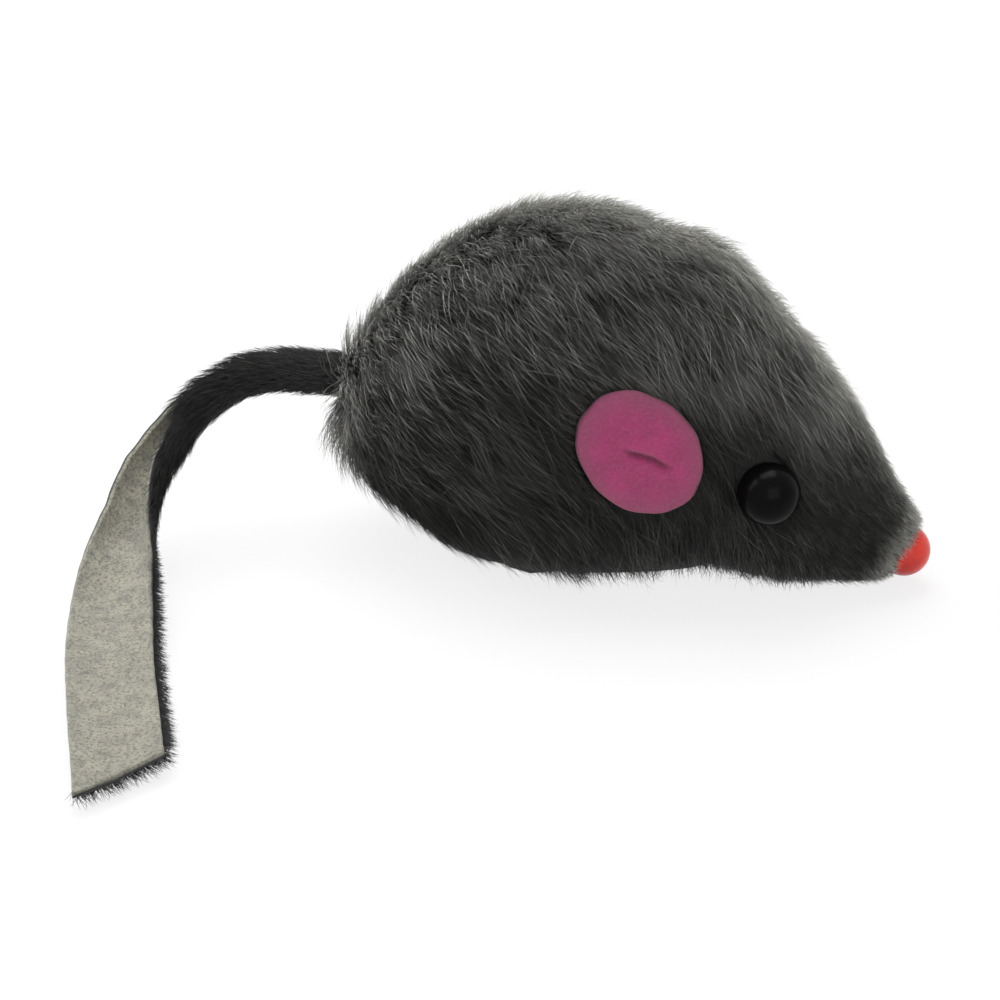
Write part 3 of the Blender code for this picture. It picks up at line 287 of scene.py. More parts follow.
def strandMesh(name, paths, radius, tone, columns=96):
    # Three-sided tapering strands: a triangle of the given radius at each point of a path, drawn to a point at the tip
    count, steps = paths.shape[:2]
    skew = np.array([0.31, 0.22, 0.93])  # a direction that hardly any hair follows
    way = unit(np.gradient(paths, axis=1))
    side = unit(np.cross(way, skew))
    other = np.cross(way, side)
    ring = circle(3, side[:, :-1, None], other[:, :-1, None])
    ring = paths[:, :-1, None] + ring * radius[:, :-1, None, None]
    points = np.concatenate([ring.reshape(count, -1, 3), paths[:, -1:]], 1)
    near, far = np.arange(3), np.roll(np.arange(3), -1)
    lift = 3 * np.arange(steps - 2)[:, None]
    walls = np.stack([near + lift, far + lift, far + lift + 3, near + lift + 3], -1).reshape(-1)
    last = 3 * (steps - 2)
    tips = np.stack([near + last, far + last, np.full(3, last + 3)], -1).reshape(-1)
    corners = np.concatenate([walls, tips, [0, 2, 1]])
    sizes = np.array([4] * (3 * (steps - 2)) + [3] * 4)
    # Map: every side of a hair fills the column of its tone, clear of the columns beside it
    west, centre, east = 0.1, 0.5, 0.9
    rise = np.arange(steps) / (steps - 1)
    low, high = np.repeat(rise[:-2], 3), np.repeat(rise[1:-1], 3)
    wallMap = np.stack([np.tile([west, east, east, west], (len(low), 1)), np.stack([low, low, high, high], 1)], -1)
    tipMap = np.tile([[west, rise[-2]], [east, rise[-2]], [centre, 1.0]], (3, 1))
    strandMap = np.concatenate([wallMap.reshape(-1, 2), tipMap, [[west, 0.0], [centre, 0.02], [east, 0.0]]])
    column = np.floor(np.clip(tone, 0.0, 0.999) * columns)
    places = np.repeat(strandMap[None], count, 0)
    places[..., 0] = (places[..., 0] + column[:, None]) / columns
    mesh = bpy.data.meshes.new(name)
    mesh.vertices.add(points.shape[0] * points.shape[1])
    mesh.vertices.foreach_set("co", (points + mouseOrigin).astype(np.float32).ravel())
    loops = corners[None] + points.shape[1] * np.arange(count)[:, None]
    mesh.loops.add(loops.size)
    mesh.loops.foreach_set("vertex_index", loops.astype(np.int32).ravel())
    starts = np.cumsum(np.tile(sizes, count)) - np.tile(sizes, count)
    mesh.polygons.add(len(starts))
    mesh.polygons.foreach_set("loop_start", starts.astype(np.int32))
    mesh.update(calc_edges=True)
    layer = mesh.uv_layers.new(name="OFBake")
    layer.uv.foreach_set("vector", places.astype(np.float32).ravel())
    return mesh


def dress(piece, body, slot, *nodes):
    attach(piece, body)
    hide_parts(*nodes)


def aim(thing, place, target):  # stands at a place and looks at a target
    thing.location = place
    thing.rotation_euler = (Vector(target) - Vector(place)).to_track_quat("-Z", "Y").to_euler()


# Camera at the photograph's angle
lens = {"from": (0.064671, -0.273736, 0.16323), "to": (-0.002559, 0.010594, 0.0098), "focal": 95.04, "sensor": 36.0}
camera = bpy.data.objects.new("camera", bpy.data.cameras.new("camera"))
scene.collection.objects.link(camera)
camera.data.lens, camera.data.sensor_width = lens["focal"], lens["sensor"]
aim(camera, lens["from"], lens["to"])
scene.camera = camera

# Body: stations along the length give back, belly and width as shares, joined by cubic curves
body = {
    "rear": -0.0375, "length": 0.0765, "height": 0.0453, "width": 0.0428, "waist": 0.46,
    "upperPower": 2.1, "lowerPower": 3.0, "rumpRound": 0.008, "snoutRound": 0.002,
    "rows": 300, "cols": 240, "rowSpan": (0.012, 0.995), "rumpRows": 0.15, "snoutRows": 0.97,  # rows of the round ends
    "stations": [(0.0, 0.585, 0.32, 0.33), (0.04, 0.667, 0.238, 0.46), (0.115, 0.79, 0.159, 0.65),
                 (0.24, 0.936, 0.06, 0.88), (0.385, 1.0, 0.033, 1.0), (0.53, 0.969, 0.027, 0.85),
                 (0.657, 0.9, 0.053, 0.71), (0.774, 0.704, 0.025, 0.58), (0.87, 0.512, 0.02, 0.38),
                 (0.938, 0.313, 0.027, 0.24), (1.0, 0.177, 0.044, 0.12)],
}
station = np.array(body["stations"])
stationX = body["rear"] + body["length"] * station[:, 0]


def onCurve(x, values):  # cubic through the stations
    slope = np.gradient(values, stationX)
    i = np.clip(np.searchsorted(stationX, x) - 1, 0, len(stationX) - 2)
    step = stationX[i + 1] - stationX[i]
    t = (x - stationX[i]) / step
    start = (1 + 2 * t) * (1 - t) ** 2 * values[i] + t * (1 - t) ** 2 * step * slope[i]
    return start + t * t * (3 - 2 * t) * values[i + 1] + t * t * (t - 1) * step * slope[i + 1]


def signedPower(value, power):
    return np.sign(value) * np.abs(value) ** power


def bodySection(x):
    top = onCurve(x, station[:, 1] * body["height"])
    low = onCurve(x, station[:, 2] * body["height"])
    middle = low + body["waist"] * (top - low)
    return middle, top - middle, middle - low, onCurve(x, station[:, 3] * body["width"] / 2)


def alongBody(points):  # 0 at the rump, 1 at the snout
    return (points[..., 0] - body["rear"]) / body["length"]


def bodyGrid(rows, cols):
    # Superellipse rings along the body, drawn in over a quarter turn at both ends
    share = np.linspace(*body["rowSpan"], rows)
    rear, front = body["rear"], body["rear"] + body["length"]
    rearShare, frontShare = body["rumpRows"], body["snoutRows"]
    atRear, atFront = share < rearShare, share > frontShare
    rearBend = np.clip(share / rearShare, 0, 1) * math.pi / 2
    frontBend = np.clip((1 - share) / (1 - frontShare), 0, 1) * math.pi / 2
    x = np.interp(share, [rearShare, frontShare], [rear + body["rumpRound"], front - body["snoutRound"]])
    x = np.where(atFront, front - body["snoutRound"] * (1 - np.cos(frontBend)), x)
    x = np.where(atRear, rear + body["rumpRound"] * (1 - np.cos(rearBend)), x)
    shrink = np.where(atRear, np.sin(rearBend), np.where(atFront, np.sin(frontBend), 1.0))
    centre, rise, drop, half = (v[:, None] for v in bodySection(x))
    angle = roundTurn(cols)
    power = np.where(np.sin(angle) >= 0, 2 / body["upperPower"], 2 / body["lowerPower"])
    across, upward = signedPower(np.cos(angle), power), signedPower(np.sin(angle), power)
    y = half * across * shrink[:, None]
    z = centre + np.where(upward > 0, rise, drop) * upward * shrink[:, None]
    return np.stack([np.broadcast_to(x[:, None], y.shape), y, z], -1)


def gridNormals(points):
    down = np.gradient(points, axis=0)
    around = np.gradient(np.concatenate([points[:, -1:], points, points[:, :1]], 1), axis=1)[:, 1:-1]
    normal = unit(np.cross(down, around))
    outward = points - points.mean(1, keepdims=True)
    return normal * np.sign(np.sum(normal * outward)), down, around


furTop = bodyGrid(body["rows"], body["cols"])
furNormal, furDown, furAround = gridNormals(furTop)

# Hide: a thin hollow skin under the hair, opened round the base plate, the key and the nose
hide = {
    "at": [0, 0.55, 0.74, 0.86, 1.0], "depth": [0.003, 0.003, 0.0018, 0.0009, 0.0009],  # rump to snout
    "belly": 0.5, "thick": 0.0007, "rows": 90, "cols": 72, "innerRows": (4, 84), "keyHole": 0.003,
    "plateCut": (-0.01, 0.012), "keyCut": (0.012, 0.03), "snoutCut": 0.02,  # reach of the shapes that cut the openings
    "dull": (0.02, 0.02, 0.019), "pale": (0.036, 0.036, 0.034), "fleck": (0.012, 0.012, 0.012),
}


def hideDepth(points):  # how far the hide lies under the tips: deep on the body, thin on head and snout, halved below
    depth = np.interp(alongBody(points), hide["at"], hide["depth"])
    middle, _, drop, _ = bodySection(points[..., 0])
    return depth * (1 - (1 - hide["belly"]) * smooth((middle - points[..., 2]) / drop, 0.35, 0.95))


nose = {"radius": 0.0033, "backSet": 0.0027, "z": 0.0044, "slope": math.radians(29.0), "stem": 0.0012, "reach": 0.0062,
        "deep": (0.46, 0.016, 0.01), "bright": (0.7, 0.04, 0.022), "roughness": 0.2, "shine": 0.35}
noseAt = np.array([body["rear"] + body["length"] - nose["backSet"], 0.0, nose["z"]])
noseOut = np.array([math.cos(nose["slope"]), 0.0, -math.sin(nose["slope"])])  # outward from the slanted snout cut
plate = {"x": -0.0034, "long": 0.018, "wide": 0.0126, "power": 3.5, "taper": 0.34, "gap": 0.0003}


def plateShare(x, y):  # below 1 inside the base plate's outline, a superellipse narrowed towards the front
    ahead = (x - plate["x"]) / (plate["long"] + plate["gap"])
    aside = y / (plate["wide"] + plate["gap"]) / (1 - plate["taper"] * np.clip(ahead, 0, 0.95))
    return (np.abs(ahead) ** plate["power"] + np.abs(aside) ** plate["power"]) ** (1 / plate["power"])


def hideSkin():
    coarse = bodyGrid(hide["rows"], hide["cols"])
    normal = gridNormals(coarse)[0]
    depth = hideDepth(coarse)[..., None]
    material = suedeMaterial("hide", hide)
    skin = addObject("peltHide", gridMesh("peltHide", coarse - normal * depth), material)
    first, last = hide["innerRows"]  # short of both ends, where the inside would fold on itself
    inside = (coarse - normal * (depth + hide["thick"]))[first:last]
    angle = roundTurn(hide["cols"])
    level = np.ones(hide["cols"])
    ahead = signedPower(np.cos(angle), 2 / plate["power"])
    aside = signedPower(np.sin(angle), 2 / plate["power"]) * (1 - plate["taper"] * np.maximum(ahead, 0))
    plateX = plate["x"] + (plate["long"] + plate["gap"]) * ahead
    plateY = (plate["wide"] + plate["gap"]) * aside
    ringX, ringZ = keyX + hide["keyHole"] * np.cos(angle), keyZ + hide["keyHole"] * np.sin(angle)
    ring = hide["snoutCut"] * circle(hide["cols"], np.cross(noseOut, yAxis), yAxis)
    cuts = {
        "hideInside": inside,
        "plateCut": np.stack([np.stack([plateX, plateY, z * level], -1) for z in hide["plateCut"]]),
        "keyCut": np.stack([np.stack([ringX, y * level, ringZ], -1) for y in hide["keyCut"]]),
        "snoutCut": np.stack([noseAt + ring + noseOut * reach for reach in (0.0, hide["snoutCut"])]),
    }
    cutters = [addObject(name, gridMesh(name, points), material) for name, points in cuts.items()]
    for tool in cutters:
        cutting = skin.modifiers.new(tool.name, "BOOLEAN")
        cutting.operation, cutting.solver, cutting.object = "DIFFERENCE", "EXACT", tool
    done = bpy.data.meshes.new_from_object(skin.evaluated_get(bpy.context.evaluated_depsgraph_get()))
    skin.modifiers.clear()
    skin.data = done
    for tool in cutters:
        bpy.data.objects.remove(tool)
    dress(skin, "body", "grey_fur", "pelt")


hideSkin()
print("hide done")


def furSpot(x, z, side):  # place on the fur's surface, with its outward and forward directions
    def halfAt(px, pz):
        middle, rise, drop, half = bodySection(np.array(px))
        power = body["upperPower"] if pz > middle else body["lowerPower"]
        share = (pz - middle) / (rise if pz > middle else -drop)
        return float(half * (1 - share ** power) ** (1 / power))
    step = 0.0003
    slopeX = (halfAt(x + step, z) - halfAt(x - step, z)) / (2 * step)
    slopeZ = (halfAt(x, z + step) - halfAt(x, z - step)) / (2 * step)
    out = unit(np.array([-slopeX, side, -slopeZ]))
    ahead = unit(xAxis - out[0] * out)
    return np.array([x, side * halfAt(x, z), z]), out, ahead


bead = {"rings": 40, "sides": 64, "firstTurn": 0.03, "stemTaper": 0.98, "taperFrom": 0.9}


def turnedBead(name, centre, out, look):
    # Ball with a stem: the profile's radius and height are turned round the outward axis
    last = math.pi - math.asin(look["stem"] / look["radius"])
    arc = np.linspace(bead["firstTurn"], last, bead["rings"])
    radius = np.concatenate([look["radius"] * np.sin(arc), [look["stem"], look["stem"] * bead["stemTaper"]]])
    height = np.concatenate([look["radius"] * np.cos(arc), [-look["reach"] * bead["taperFrom"], -look["reach"]]])
    skew = [0.13, 0.21, 0.97]  # any direction off the axis will do
    across = unit(np.cross(out, skew))
    ring = circle(bead["sides"], across, np.cross(out, across))
    points = centre + radius[:, None, None] * ring + height[:, None, None] * out
    return addObject(name, gridMesh(name, points), beadMaterial(name, look))


eye = {"x": 0.0205, "z": 0.0171, "proud": 0.0004, "radius": 0.0038, "stem": 0.0012, "reach": 0.0058,
       "deep": (0.002, 0.002, 0.002), "bright": (0.0036, 0.0036, 0.0036), "roughness": 0.17, "shine": 0.045}
dress(turnedBead("noseBead", noseAt, noseOut, nose), "body", "red_bead", "nose")
sides = {"left": 1.0, "right": -1.0}
eyeAt = {}
for sideName, side in sides.items():
    spot, out, _ = furSpot(eye["x"], eye["z"], side)
    eyeAt[sideName] = spot + out * eye["proud"]
    dress(turnedBead(f"eyeBead_{sideName}", eyeAt[sideName], out, eye), "body", "black_bead", f"eye_{sideName}")
print("beads done")

# Ears: felt ovals that follow the body's curve a little, pinched along a fold where they are tucked in
ear = {
    "x": 0.0057, "z": 0.0223, "long": 0.0175, "tall": 0.0137, "felt": 0.0012, "turn": math.radians(50.0),
    "rings": 44, "sides": 96, "face": 0.955, "rim": 0.045, "droop": 0.5, "bendLong": 0.06, "bendTall": 0.046,
    "foldDeep": 0.0006, "foldWide": 0.0005, "foldTurn": math.radians(26.0), "foldAt": 0.0009,
    "foldEnds": (0.0016, 0.004), "foldSway": 0.00014, "foldWaves": 1300, "foldShade": 0.00062, "foldFray": 0.00016,
    "pucker": 0.00005, "puckerReach": 0.004,
    "dull": (0.285, 0.042, 0.118), "bright": (0.36, 0.044, 0.142), "edge": (0.225, 0.074, 0.115),
    # fold: painted shade for the fold's crease
    "fibre": (0.38, 0.11, 0.19), "fold": (0.045, 0.014, 0.016),
}


def earAxes(side):
    spot, out, ahead = furSpot(ear["x"], ear["z"], side)
    return spot, out, *turned(ahead, np.cross(out, ahead), side * ear["turn"])


def earSag(p, q):  # how far the felt bends down towards its edge
    return ear["droop"] * (p ** 2 / ear["bendLong"] + q ** 2 / ear["bendTall"])


def earFelt(sideName, side):
    # Oval drawn from its middle over the outer face, round the edge and back to the middle of the inner face
    spot, out, long, tall = earAxes(side)
    face = np.linspace(0.02, ear["face"], ear["rings"])
    edge = np.linspace(0, math.pi, 9)[1:-1]
    reach = np.concatenate([face, ear["face"] + ear["rim"] * np.sin(edge), face[::-1]])
    depth = np.concatenate([np.zeros(len(face)), (1 - np.cos(edge)) / 2, np.ones(len(face))]) * ear["felt"]
    angle = roundTurn(ear["sides"])
    ragged = 1 + 0.008 * np.sin(5 * angle + 1.0) + 0.006 * np.sin(11 * angle)  # scissor-cut edge
    p = ear["long"] / 2 * reach[:, None] * np.cos(angle) * ragged
    q = ear["tall"] / 2 * reach[:, None] * np.sin(angle) * ragged
    along, off = turned(p, q * -side, ear["foldTurn"])
    off = off - ear["foldSway"] * np.sin(ear["foldWaves"] * along)
    fold = np.exp(-(off / ear["foldWide"]) ** 2) * fade(np.abs(along - ear["foldAt"]), *ear["foldEnds"])
    near = np.exp(-(np.hypot(p, q) / ear["puckerReach"]) ** 2)
    pucker = ear["pucker"] * np.sin(2600 * along + 900 * off) * near
    height = -earSag(p, q) - depth[:, None] - ear["foldDeep"] * fold + pucker
    points = spot + p[..., None] * long + q[..., None] * tall + height[..., None] * out
    cut = np.stack([p, q * -side], -1).reshape(-1, 2) * perMetre
    name = f"earFelt_{sideName}"
    piece = addObject(name, gridMesh(name, points, cut=cut), feltMaterial(name, ear))
    dress(piece, "body", "pink_felt", f"ear_{sideName}")


for sideName, side in sides.items():
    earFelt(sideName, side)
print("ears done")

# Coat: locks gather tufts, and tufts gather hairs; all follow one flow over the body
coat = {
    "locks": 1000, "lockTurn": 0.09, "lockLift": (0.88, 1.05), "lockTone": 0.03, "lockLong": (0.85, 1.15),
    "lockPull": 0.09, "spread": 0.0014, "scale": (0.72, 1.12), "stray": 0.0003, "taper": 0.55,
    "headDense": 1.2, "crownDense": 0.7, "leastTravel": 0.35, "risePower": 1.7, "belowLeast": 0.35,
    "flowAt": [0, 0.2, 0.35, 0.5, 0.62, 0.75, 0.9, 1],  # rump to snout, a row for each
    "flowHeight": [0, 0.25, 0.5, 0.8, 1],  # belly to back, a value for each: degrees below straight ahead
    "flowDown": [(10, 0, 2, 10, 34), (25, 6, 10, 26, 50), (60, 30, 24, 42, 55), (85, 65, 42, 48, 52),
                 (95, 85, 60, 56, 52), (90, 75, 62, 62, 55), (55, 50, 48, 45, 40), (40, 38, 36, 34, 30)],
    "lengthAt": [0, 0.2, 0.5, 0.66, 0.76, 0.86, 0.94, 1],
    "length": [0.0078, 0.0084, 0.0086, 0.0076, 0.0056, 0.004, 0.0026, 0.002],
    "bellyShort": 0.4, "noseShare": 0.75, "noseLeast": 0.0003,
    "hangAt": [0, 0.12, 0.25, 0.32, 0.385, 0.45, 0.52, 0.587, 0.654, 0.72, 1],
    "hang": [1, 1, 0.95, 1, 1.3, 1.5, 1.2, 1, 1.05, 1.1, 1],  # how far belly hair stands off
    "ruff": 0.9, "ruffTop": 0.25, "rumpFlat": 0.35, "backHigh": 0.3,  # taller and flatter stretches
    # Painted light lightens the tips facing up, along the ridge band and on the ruff round the tail; painted shade
    # darkens those facing down
    "toneLeast": 0.012, "paintedTopLight": 0.11, "toneRump": 0.07, "paintedRuffLight": 0.3, "toneNose": 0.85, "paintedUnderShade": 0.03,
    "paintedRidgeLight": 0.85, "ridgeLean": 0.55, "ridgeWide": 0.36, "toneSpread": 0.04,
    "paintedHighlights": [(0.0035, 0.0335, 0.0045, 0.3), (0.014, 0.033, 0.004, 0.24),
                (0.0255, 0.027, 0.005, 0.21)],  # length, height, size and gain of painted highlight spots
    "pale": 0.14, "paleGain": 0.58, "paleThick": 1.3, "paleLong": 0.06, "paleBelow": 0.12,
    "root": (0.05, 0.049, 0.046), "tip": (0.32, 0.317, 0.292), "tipFrom": 0.05, "tipFull": 0.75,
    "gain": 1.6, "least": 0.03,
}
furLook = furMaterial("greyFur", coat)


def lookUp(array, row, col):  # value between the grid's points, joined round the body
    rows, cols = array.shape[:2]
    i = np.clip(np.floor(row).astype(int), 0, rows - 2)
    j = np.floor(col).astype(int)
    a, b = np.clip(row - i, 0, 1), col - j
    if array.ndim == 3:
        a, b = a[:, None], b[:, None]
    j, k = j % cols, (j + 1) % cols
    near, far = array[i, j] * (1 - b) + array[i, k] * b, array[i + 1, j] * (1 - b) + array[i + 1, k] * b
    return near * (1 - a) + far * a


def flowAt(points, normal, down, turn):
    # Forward and down by an angle read from a table of length and height, straight away from the tail at the rump
    share = alongBody(points)
    middle, rise, drop, _ = bodySection(points[:, 0])
    height = np.clip((points[:, 2] - middle + drop) / (rise + drop), 0, 1)
    table = np.array(coat["flowDown"], float)
    falls = np.stack([np.interp(share, coat["flowAt"], column) for column in table.T], -1)
    levels = np.array(coat["flowHeight"])
    k = np.clip(np.searchsorted(levels, height) - 1, 0, len(levels) - 2)
    part = (height - levels[k]) / (levels[k + 1] - levels[k])
    each = np.arange(len(k))
    fall = np.radians(falls[each, k] * (1 - part) + falls[each, k + 1] * part)[:, None]
    ahead = unit(xAxis - normal[:, :1] * normal)
    below = normal[:, 2:] * normal - zAxis
    below = below / np.maximum(np.linalg.norm(below, axis=1, keepdims=True), coat["belowLeast"])
    over = np.cross(ahead, normal)  # combed over the back, so the parting lies on the far side
    back = smooth(normal[:, 2:], 0.1, 0.6)
    flow = np.cos(fall) * ahead + np.sin(fall) * (below * (1 - back) + over * back)
    keep = smooth(share, 0.0, 0.07)[:, None]
    flow = unit(flow * keep + unit(down) * (1 - keep))
    return turned(flow, np.cross(normal, flow), turn[:, None])[0]


def rootSpots(count, density):  # random places on the grid, as many on a patch as its area calls for
    area = np.linalg.norm(np.cross(furDown, furAround), axis=2) * density
    cell = rng.choice(area.size, count, p=(area / area.sum()).ravel())
    return cell // area.shape[1] + rng.random(count) - 0.5, cell % area.shape[1] + rng.random(count) - 0.5


def tuftPaths(row, col, length, height, turn, steps):
    # Walks along the flow on the fur's surface while rising off the hide: fast at first, then level
    share = np.linspace(0, 1, steps)
    travel = np.sqrt(np.maximum(length ** 2 - height ** 2, (coat["leastTravel"] * length) ** 2))
    lastRow, mostCols = furTop.shape[0] - 1.001, 12  # a step near an end of the body never runs off the grid
    path, first = [], None
    for k in range(steps):
        point, normal = lookUp(furTop, row, col), unit(lookUp(furNormal, row, col))
        down, around = lookUp(furDown, row, col), lookUp(furAround, row, col)
        flow = flowAt(point, normal, down, turn)
        first = (point, normal, flow) if first is None else first
        rise = height * (1 - (1 - share[k]) ** coat["risePower"]) - hideDepth(point)
        path.append(point + normal * rise[:, None])
        e, f, g = (np.sum(a * b, -1) for a, b in ((down, down), (down, around), (around, around)))
        d, s = np.sum(flow * down, -1), np.sum(flow * around, -1)
        area = e * g - f * f + 1e-18
        move = travel / (steps - 1)
        row = np.clip(row + move * (d * g - s * f) / area, 0.0, lastRow)
        col = col + np.clip(move * (s * e - d * f) / area, -mostCols, mostCols)
    return np.stack(path, 1), first


# Room that the hair leaves round other pieces
clear = {
    "plateEdge": 1.02, "plateTop": 0.009, "noseRim": -0.0003, "eyeShare": 0.92,  # where no hair grows
    "earEdge": 1.1, "earGap": 0.0002, "earDip": 0.0048, "earOver": 0.004,
    "keyWay": 0.0033, "keyMeets": 0.0029, "keySide": 0.01, "floor": 0.0002,
    "bead": 0.00008, "noseFront": 0.0005, "underShare": 0.95, "underTop": 0.012,
}


def hairDensity():  # bare at the base plate, at the nose and under the beads
    x, y, z = np.moveaxis(furTop, -1, 0)
    bare = (plateShare(x, y) < clear["plateEdge"]) & (z < clear["plateTop"])
    bare |= (furTop - noseAt) @ noseOut > clear["noseRim"]
    for centre in eyeAt.values():
        bare |= np.linalg.norm(furTop - centre, axis=-1) < eye["radius"] * clear["eyeShare"]
    share = alongBody(furTop)
    crown = smooth(furNormal[..., 2], 0.6, 0.9) * fade(share, 0.6, 0.75)
    return np.where(bare, 0.0, 1 + coat["headDense"] * smooth(share, 0.66, 0.9) + coat["crownDense"] * crown)


density = hairDensity()
lockRow, lockCol = rootSpots(coat["locks"], density)
lockPoint = lookUp(furTop, lockRow, lockCol)
lockTurn, lockLift = rng.normal(0, coat["lockTurn"], coat["locks"]), rng.uniform(*coat["lockLift"], coat["locks"])
lockTone, lockLong = rng.normal(0, coat["lockTone"], coat["locks"]), rng.uniform(*coat["lockLong"], coat["locks"])


def toneWithPaintedLight(point, normal):
    # Painted light lightens tips facing up, in a band beyond the ridge, on the ruff and in a few painted highlight
    # spots; painted shade darkens them below; lighter on the rump top, palest at the nose
    share, up = alongBody(point), normal[:, 2]
    tone = coat["toneLeast"] + coat["paintedTopLight"] * smooth(up, 0.35, 0.98)
    tone += coat["toneRump"] * fade(share, 0.08, 0.26) * smooth(up, 0.0, 0.5)
    ridge = np.exp(-((normal[:, 1] - coat["ridgeLean"]) / coat["ridgeWide"]) ** 2)
    tone += coat["paintedRidgeLight"] * ridge * smooth(up, 0.1, 0.5)
    tone += coat["paintedRuffLight"] * fade(share, 0.02, 0.07)
    for x, z, size, gain in coat["paintedHighlights"]:
        tone += gain * np.exp(-((point[:, 0] - x) ** 2 + (point[:, 2] - z) ** 2) / size ** 2)
    rim = -((point - noseAt) @ noseOut)
    return tone - coat["paintedUnderShade"] * smooth(-up, 0, 0.8) + coat["toneNose"] * fade(rim, 0.0022, 0.0048)


def growHairs(layer):
    tufts, steps, size = layer["tufts"], layer["steps"], (layer["tufts"], layer["perTuft"])
    row, col = rootSpots(tufts, density)
    point, normal = lookUp(furTop, row, col), unit(lookUp(furNormal, row, col))
    away = np.sum((point[:, None].astype(np.float32) - lockPoint[None].astype(np.float32)) ** 2, -1)
    lock = np.argmin(away, 1)
    share, up = alongBody(point), normal[:, 2]
    length = np.interp(share, coat["lengthAt"], coat["length"]) * lockLong[lock] * layer["long"]
    length *= 1 - coat["bellyShort"] * smooth(-up, 0.2, 0.8)
    fromNose = np.maximum(-((point - noseAt) @ noseOut), 0)
    length = np.minimum(length, fromNose * coat["noseShare"] + coat["noseLeast"])  # short round the nose
    hang = 1 + (np.interp(share, coat["hangAt"], coat["hang"]) - 1) * smooth(-up, 0.05, 0.5)
    # Stands higher round the tail and on the back, lower on top of the rump
    crest = 1 + coat["ruff"] * fade(share, 0.005, 0.045) * (1 - 0.7 * smooth(up, -0.1, 0.4))
    crest += coat["ruffTop"] * fade(share, 0.006, 0.026) * smooth(up, -0.1, 0.3)
    crest -= coat["rumpFlat"] * smooth(up, 0.1, 0.5) * fade(share, 0.04, 0.13)
    crest += coat["backHigh"] * smooth(up, 0.4, 0.9) * smooth(share, 0.1, 0.3) * fade(share, 0.6, 0.8)
    height = hideDepth(point) * lockLift[lock] * layer["high"] * hang * crest
    turn = lockTurn[lock] + rng.normal(0, layer["wander"], tufts)
    path, (start, out, flow) = tuftPaths(row, col, length, height, turn, steps)
    pull = lockPoint[lock] - start
    pull -= np.sum(pull * out, -1, keepdims=True) * out
    s = np.linspace(0, 1, steps)
    path = path + coat["lockPull"] * pull[:, None] * (s ** 1.4)[:, None]
    # Each tuft's hairs stand on a small disc and close in towards its tip
    away, about = coat["spread"] * np.sqrt(rng.random(size)), rng.random(size) * math.tau
    side = np.cross(out, flow)
    offset = (away * np.cos(about))[..., None] * flow[:, None] + (away * np.sin(about))[..., None] * side[:, None]
    pale = rng.random(size) < coat["pale"]  # a pale hair here and there, a little longer than the rest
    scale = rng.uniform(*coat["scale"], size) + coat["paleLong"] * pale
    stray = rng.normal(0, 1, size + (3,)) * coat["stray"]
    root = (start - out * hideDepth(start)[:, None])[:, None, None]
    hairs = root + offset[:, :, None] * (1 - layer["gather"] * s ** 1.3)[:, None]
    hairs = hairs + (path - path[:, :1])[:, None] * scale[..., None, None] + stray[:, :, None] * (s ** 2)[:, None]
    # Pale hairs are real, and painted light sets their gain: full where they face up and on the rump, little where they
    # face down, half along the back
    lit = np.maximum(smooth(out[:, 2], 0.25, 0.8), fade(share, 0.15, 0.35) * smooth(out[:, 2], -0.3, 0.3))
    bright = coat["paleBelow"] + (1 - coat["paleBelow"]) * lit
    bright *= 1 - 0.5 * smooth(out[:, 2], 0.6, 0.85) * smooth(share, 0.15, 0.3) * fade(share, 0.55, 0.7)
    tone = (toneWithPaintedLight(start, out) + lockTone[lock])[:, None] + rng.normal(0, coat["toneSpread"], size)
    tone = tone + layer["toneShift"] + coat["paleGain"] * bright[:, None] * pale
    radius = layer["thick"] * np.where(pale, coat["paleThick"], 1.0)[..., None] * (1 - coat["taper"] * s)
    return hairs.reshape(-1, steps, 3), radius.reshape(-1, steps), tone.ravel()


def clearWay(hairs):
    # Presses hairs under the ears, parts them round the key, keeps them off the floor and tells which lie free
    for side in sides.values():
        spot, out, long, tall = earAxes(side)
        local = hairs - spot
        p, q, h = local @ long, local @ tall, local @ out
        inside = (p / (ear["long"] / 2)) ** 2 + (q / (ear["tall"] / 2)) ** 2 < clear["earEdge"]
        dip = (ear["foldDeep"] + clear["earGap"]) * np.exp(-(p ** 2 + q ** 2) / clear["earDip"] ** 2)
        top = -earSag(p, q) - ear["felt"] - clear["earGap"] - dip
        excess = np.where(inside & (h > top) & (h < clear["earOver"]), h - top, 0.0)
        hairs = hairs - excess[..., None] * out
    ahead, upward = hairs[..., 0] - keyX, hairs[..., 2] - keyZ
    away = np.hypot(ahead, upward) + 1e-9
    push = np.where(hairs[..., 1] > clear["keySide"], np.maximum(clear["keyWay"] - away, 0) / away, 0)
    hairs[..., 0] += ahead * push
    hairs[..., 2] = np.maximum(hairs[..., 2] + upward * push, clear["floor"])
    between = np.concatenate([hairs, (hairs[:, 1:] + hairs[:, :-1]) / 2], 1)
    x, y, z = np.moveaxis(between, -1, 0)
    meets = (between - noseAt) @ noseOut > clear["noseFront"]
    for centre, look in [(spot, eye) for spot in eyeAt.values()] + [(noseAt, nose)]:
        meets |= np.linalg.norm(between - centre, axis=-1) < look["radius"] + clear["bead"]
    meets |= (np.hypot(x - keyX, z - keyZ) < clear["keyMeets"]) & (y > clear["keySide"])
    meets |= (plateShare(x, y) < clear["underShare"]) & (z < clear["underTop"])
    return hairs, ~meets.any(1)


def furPieces(name, hairs, radius, tone, perPiece, material, slot, node):
    # Sorted from rump to snout and cut into pieces of a handy size
    order = np.argsort(hairs[:, 0, 0])
    for k, part in enumerate(np.array_split(order, math.ceil(len(order) / perPiece))):
        label = f"{name}_{k + 1}"
        piece = addObject(label, strandMesh(label, hairs[part], radius[part], tone[part]), material)
        dress(piece, "body", slot, node)


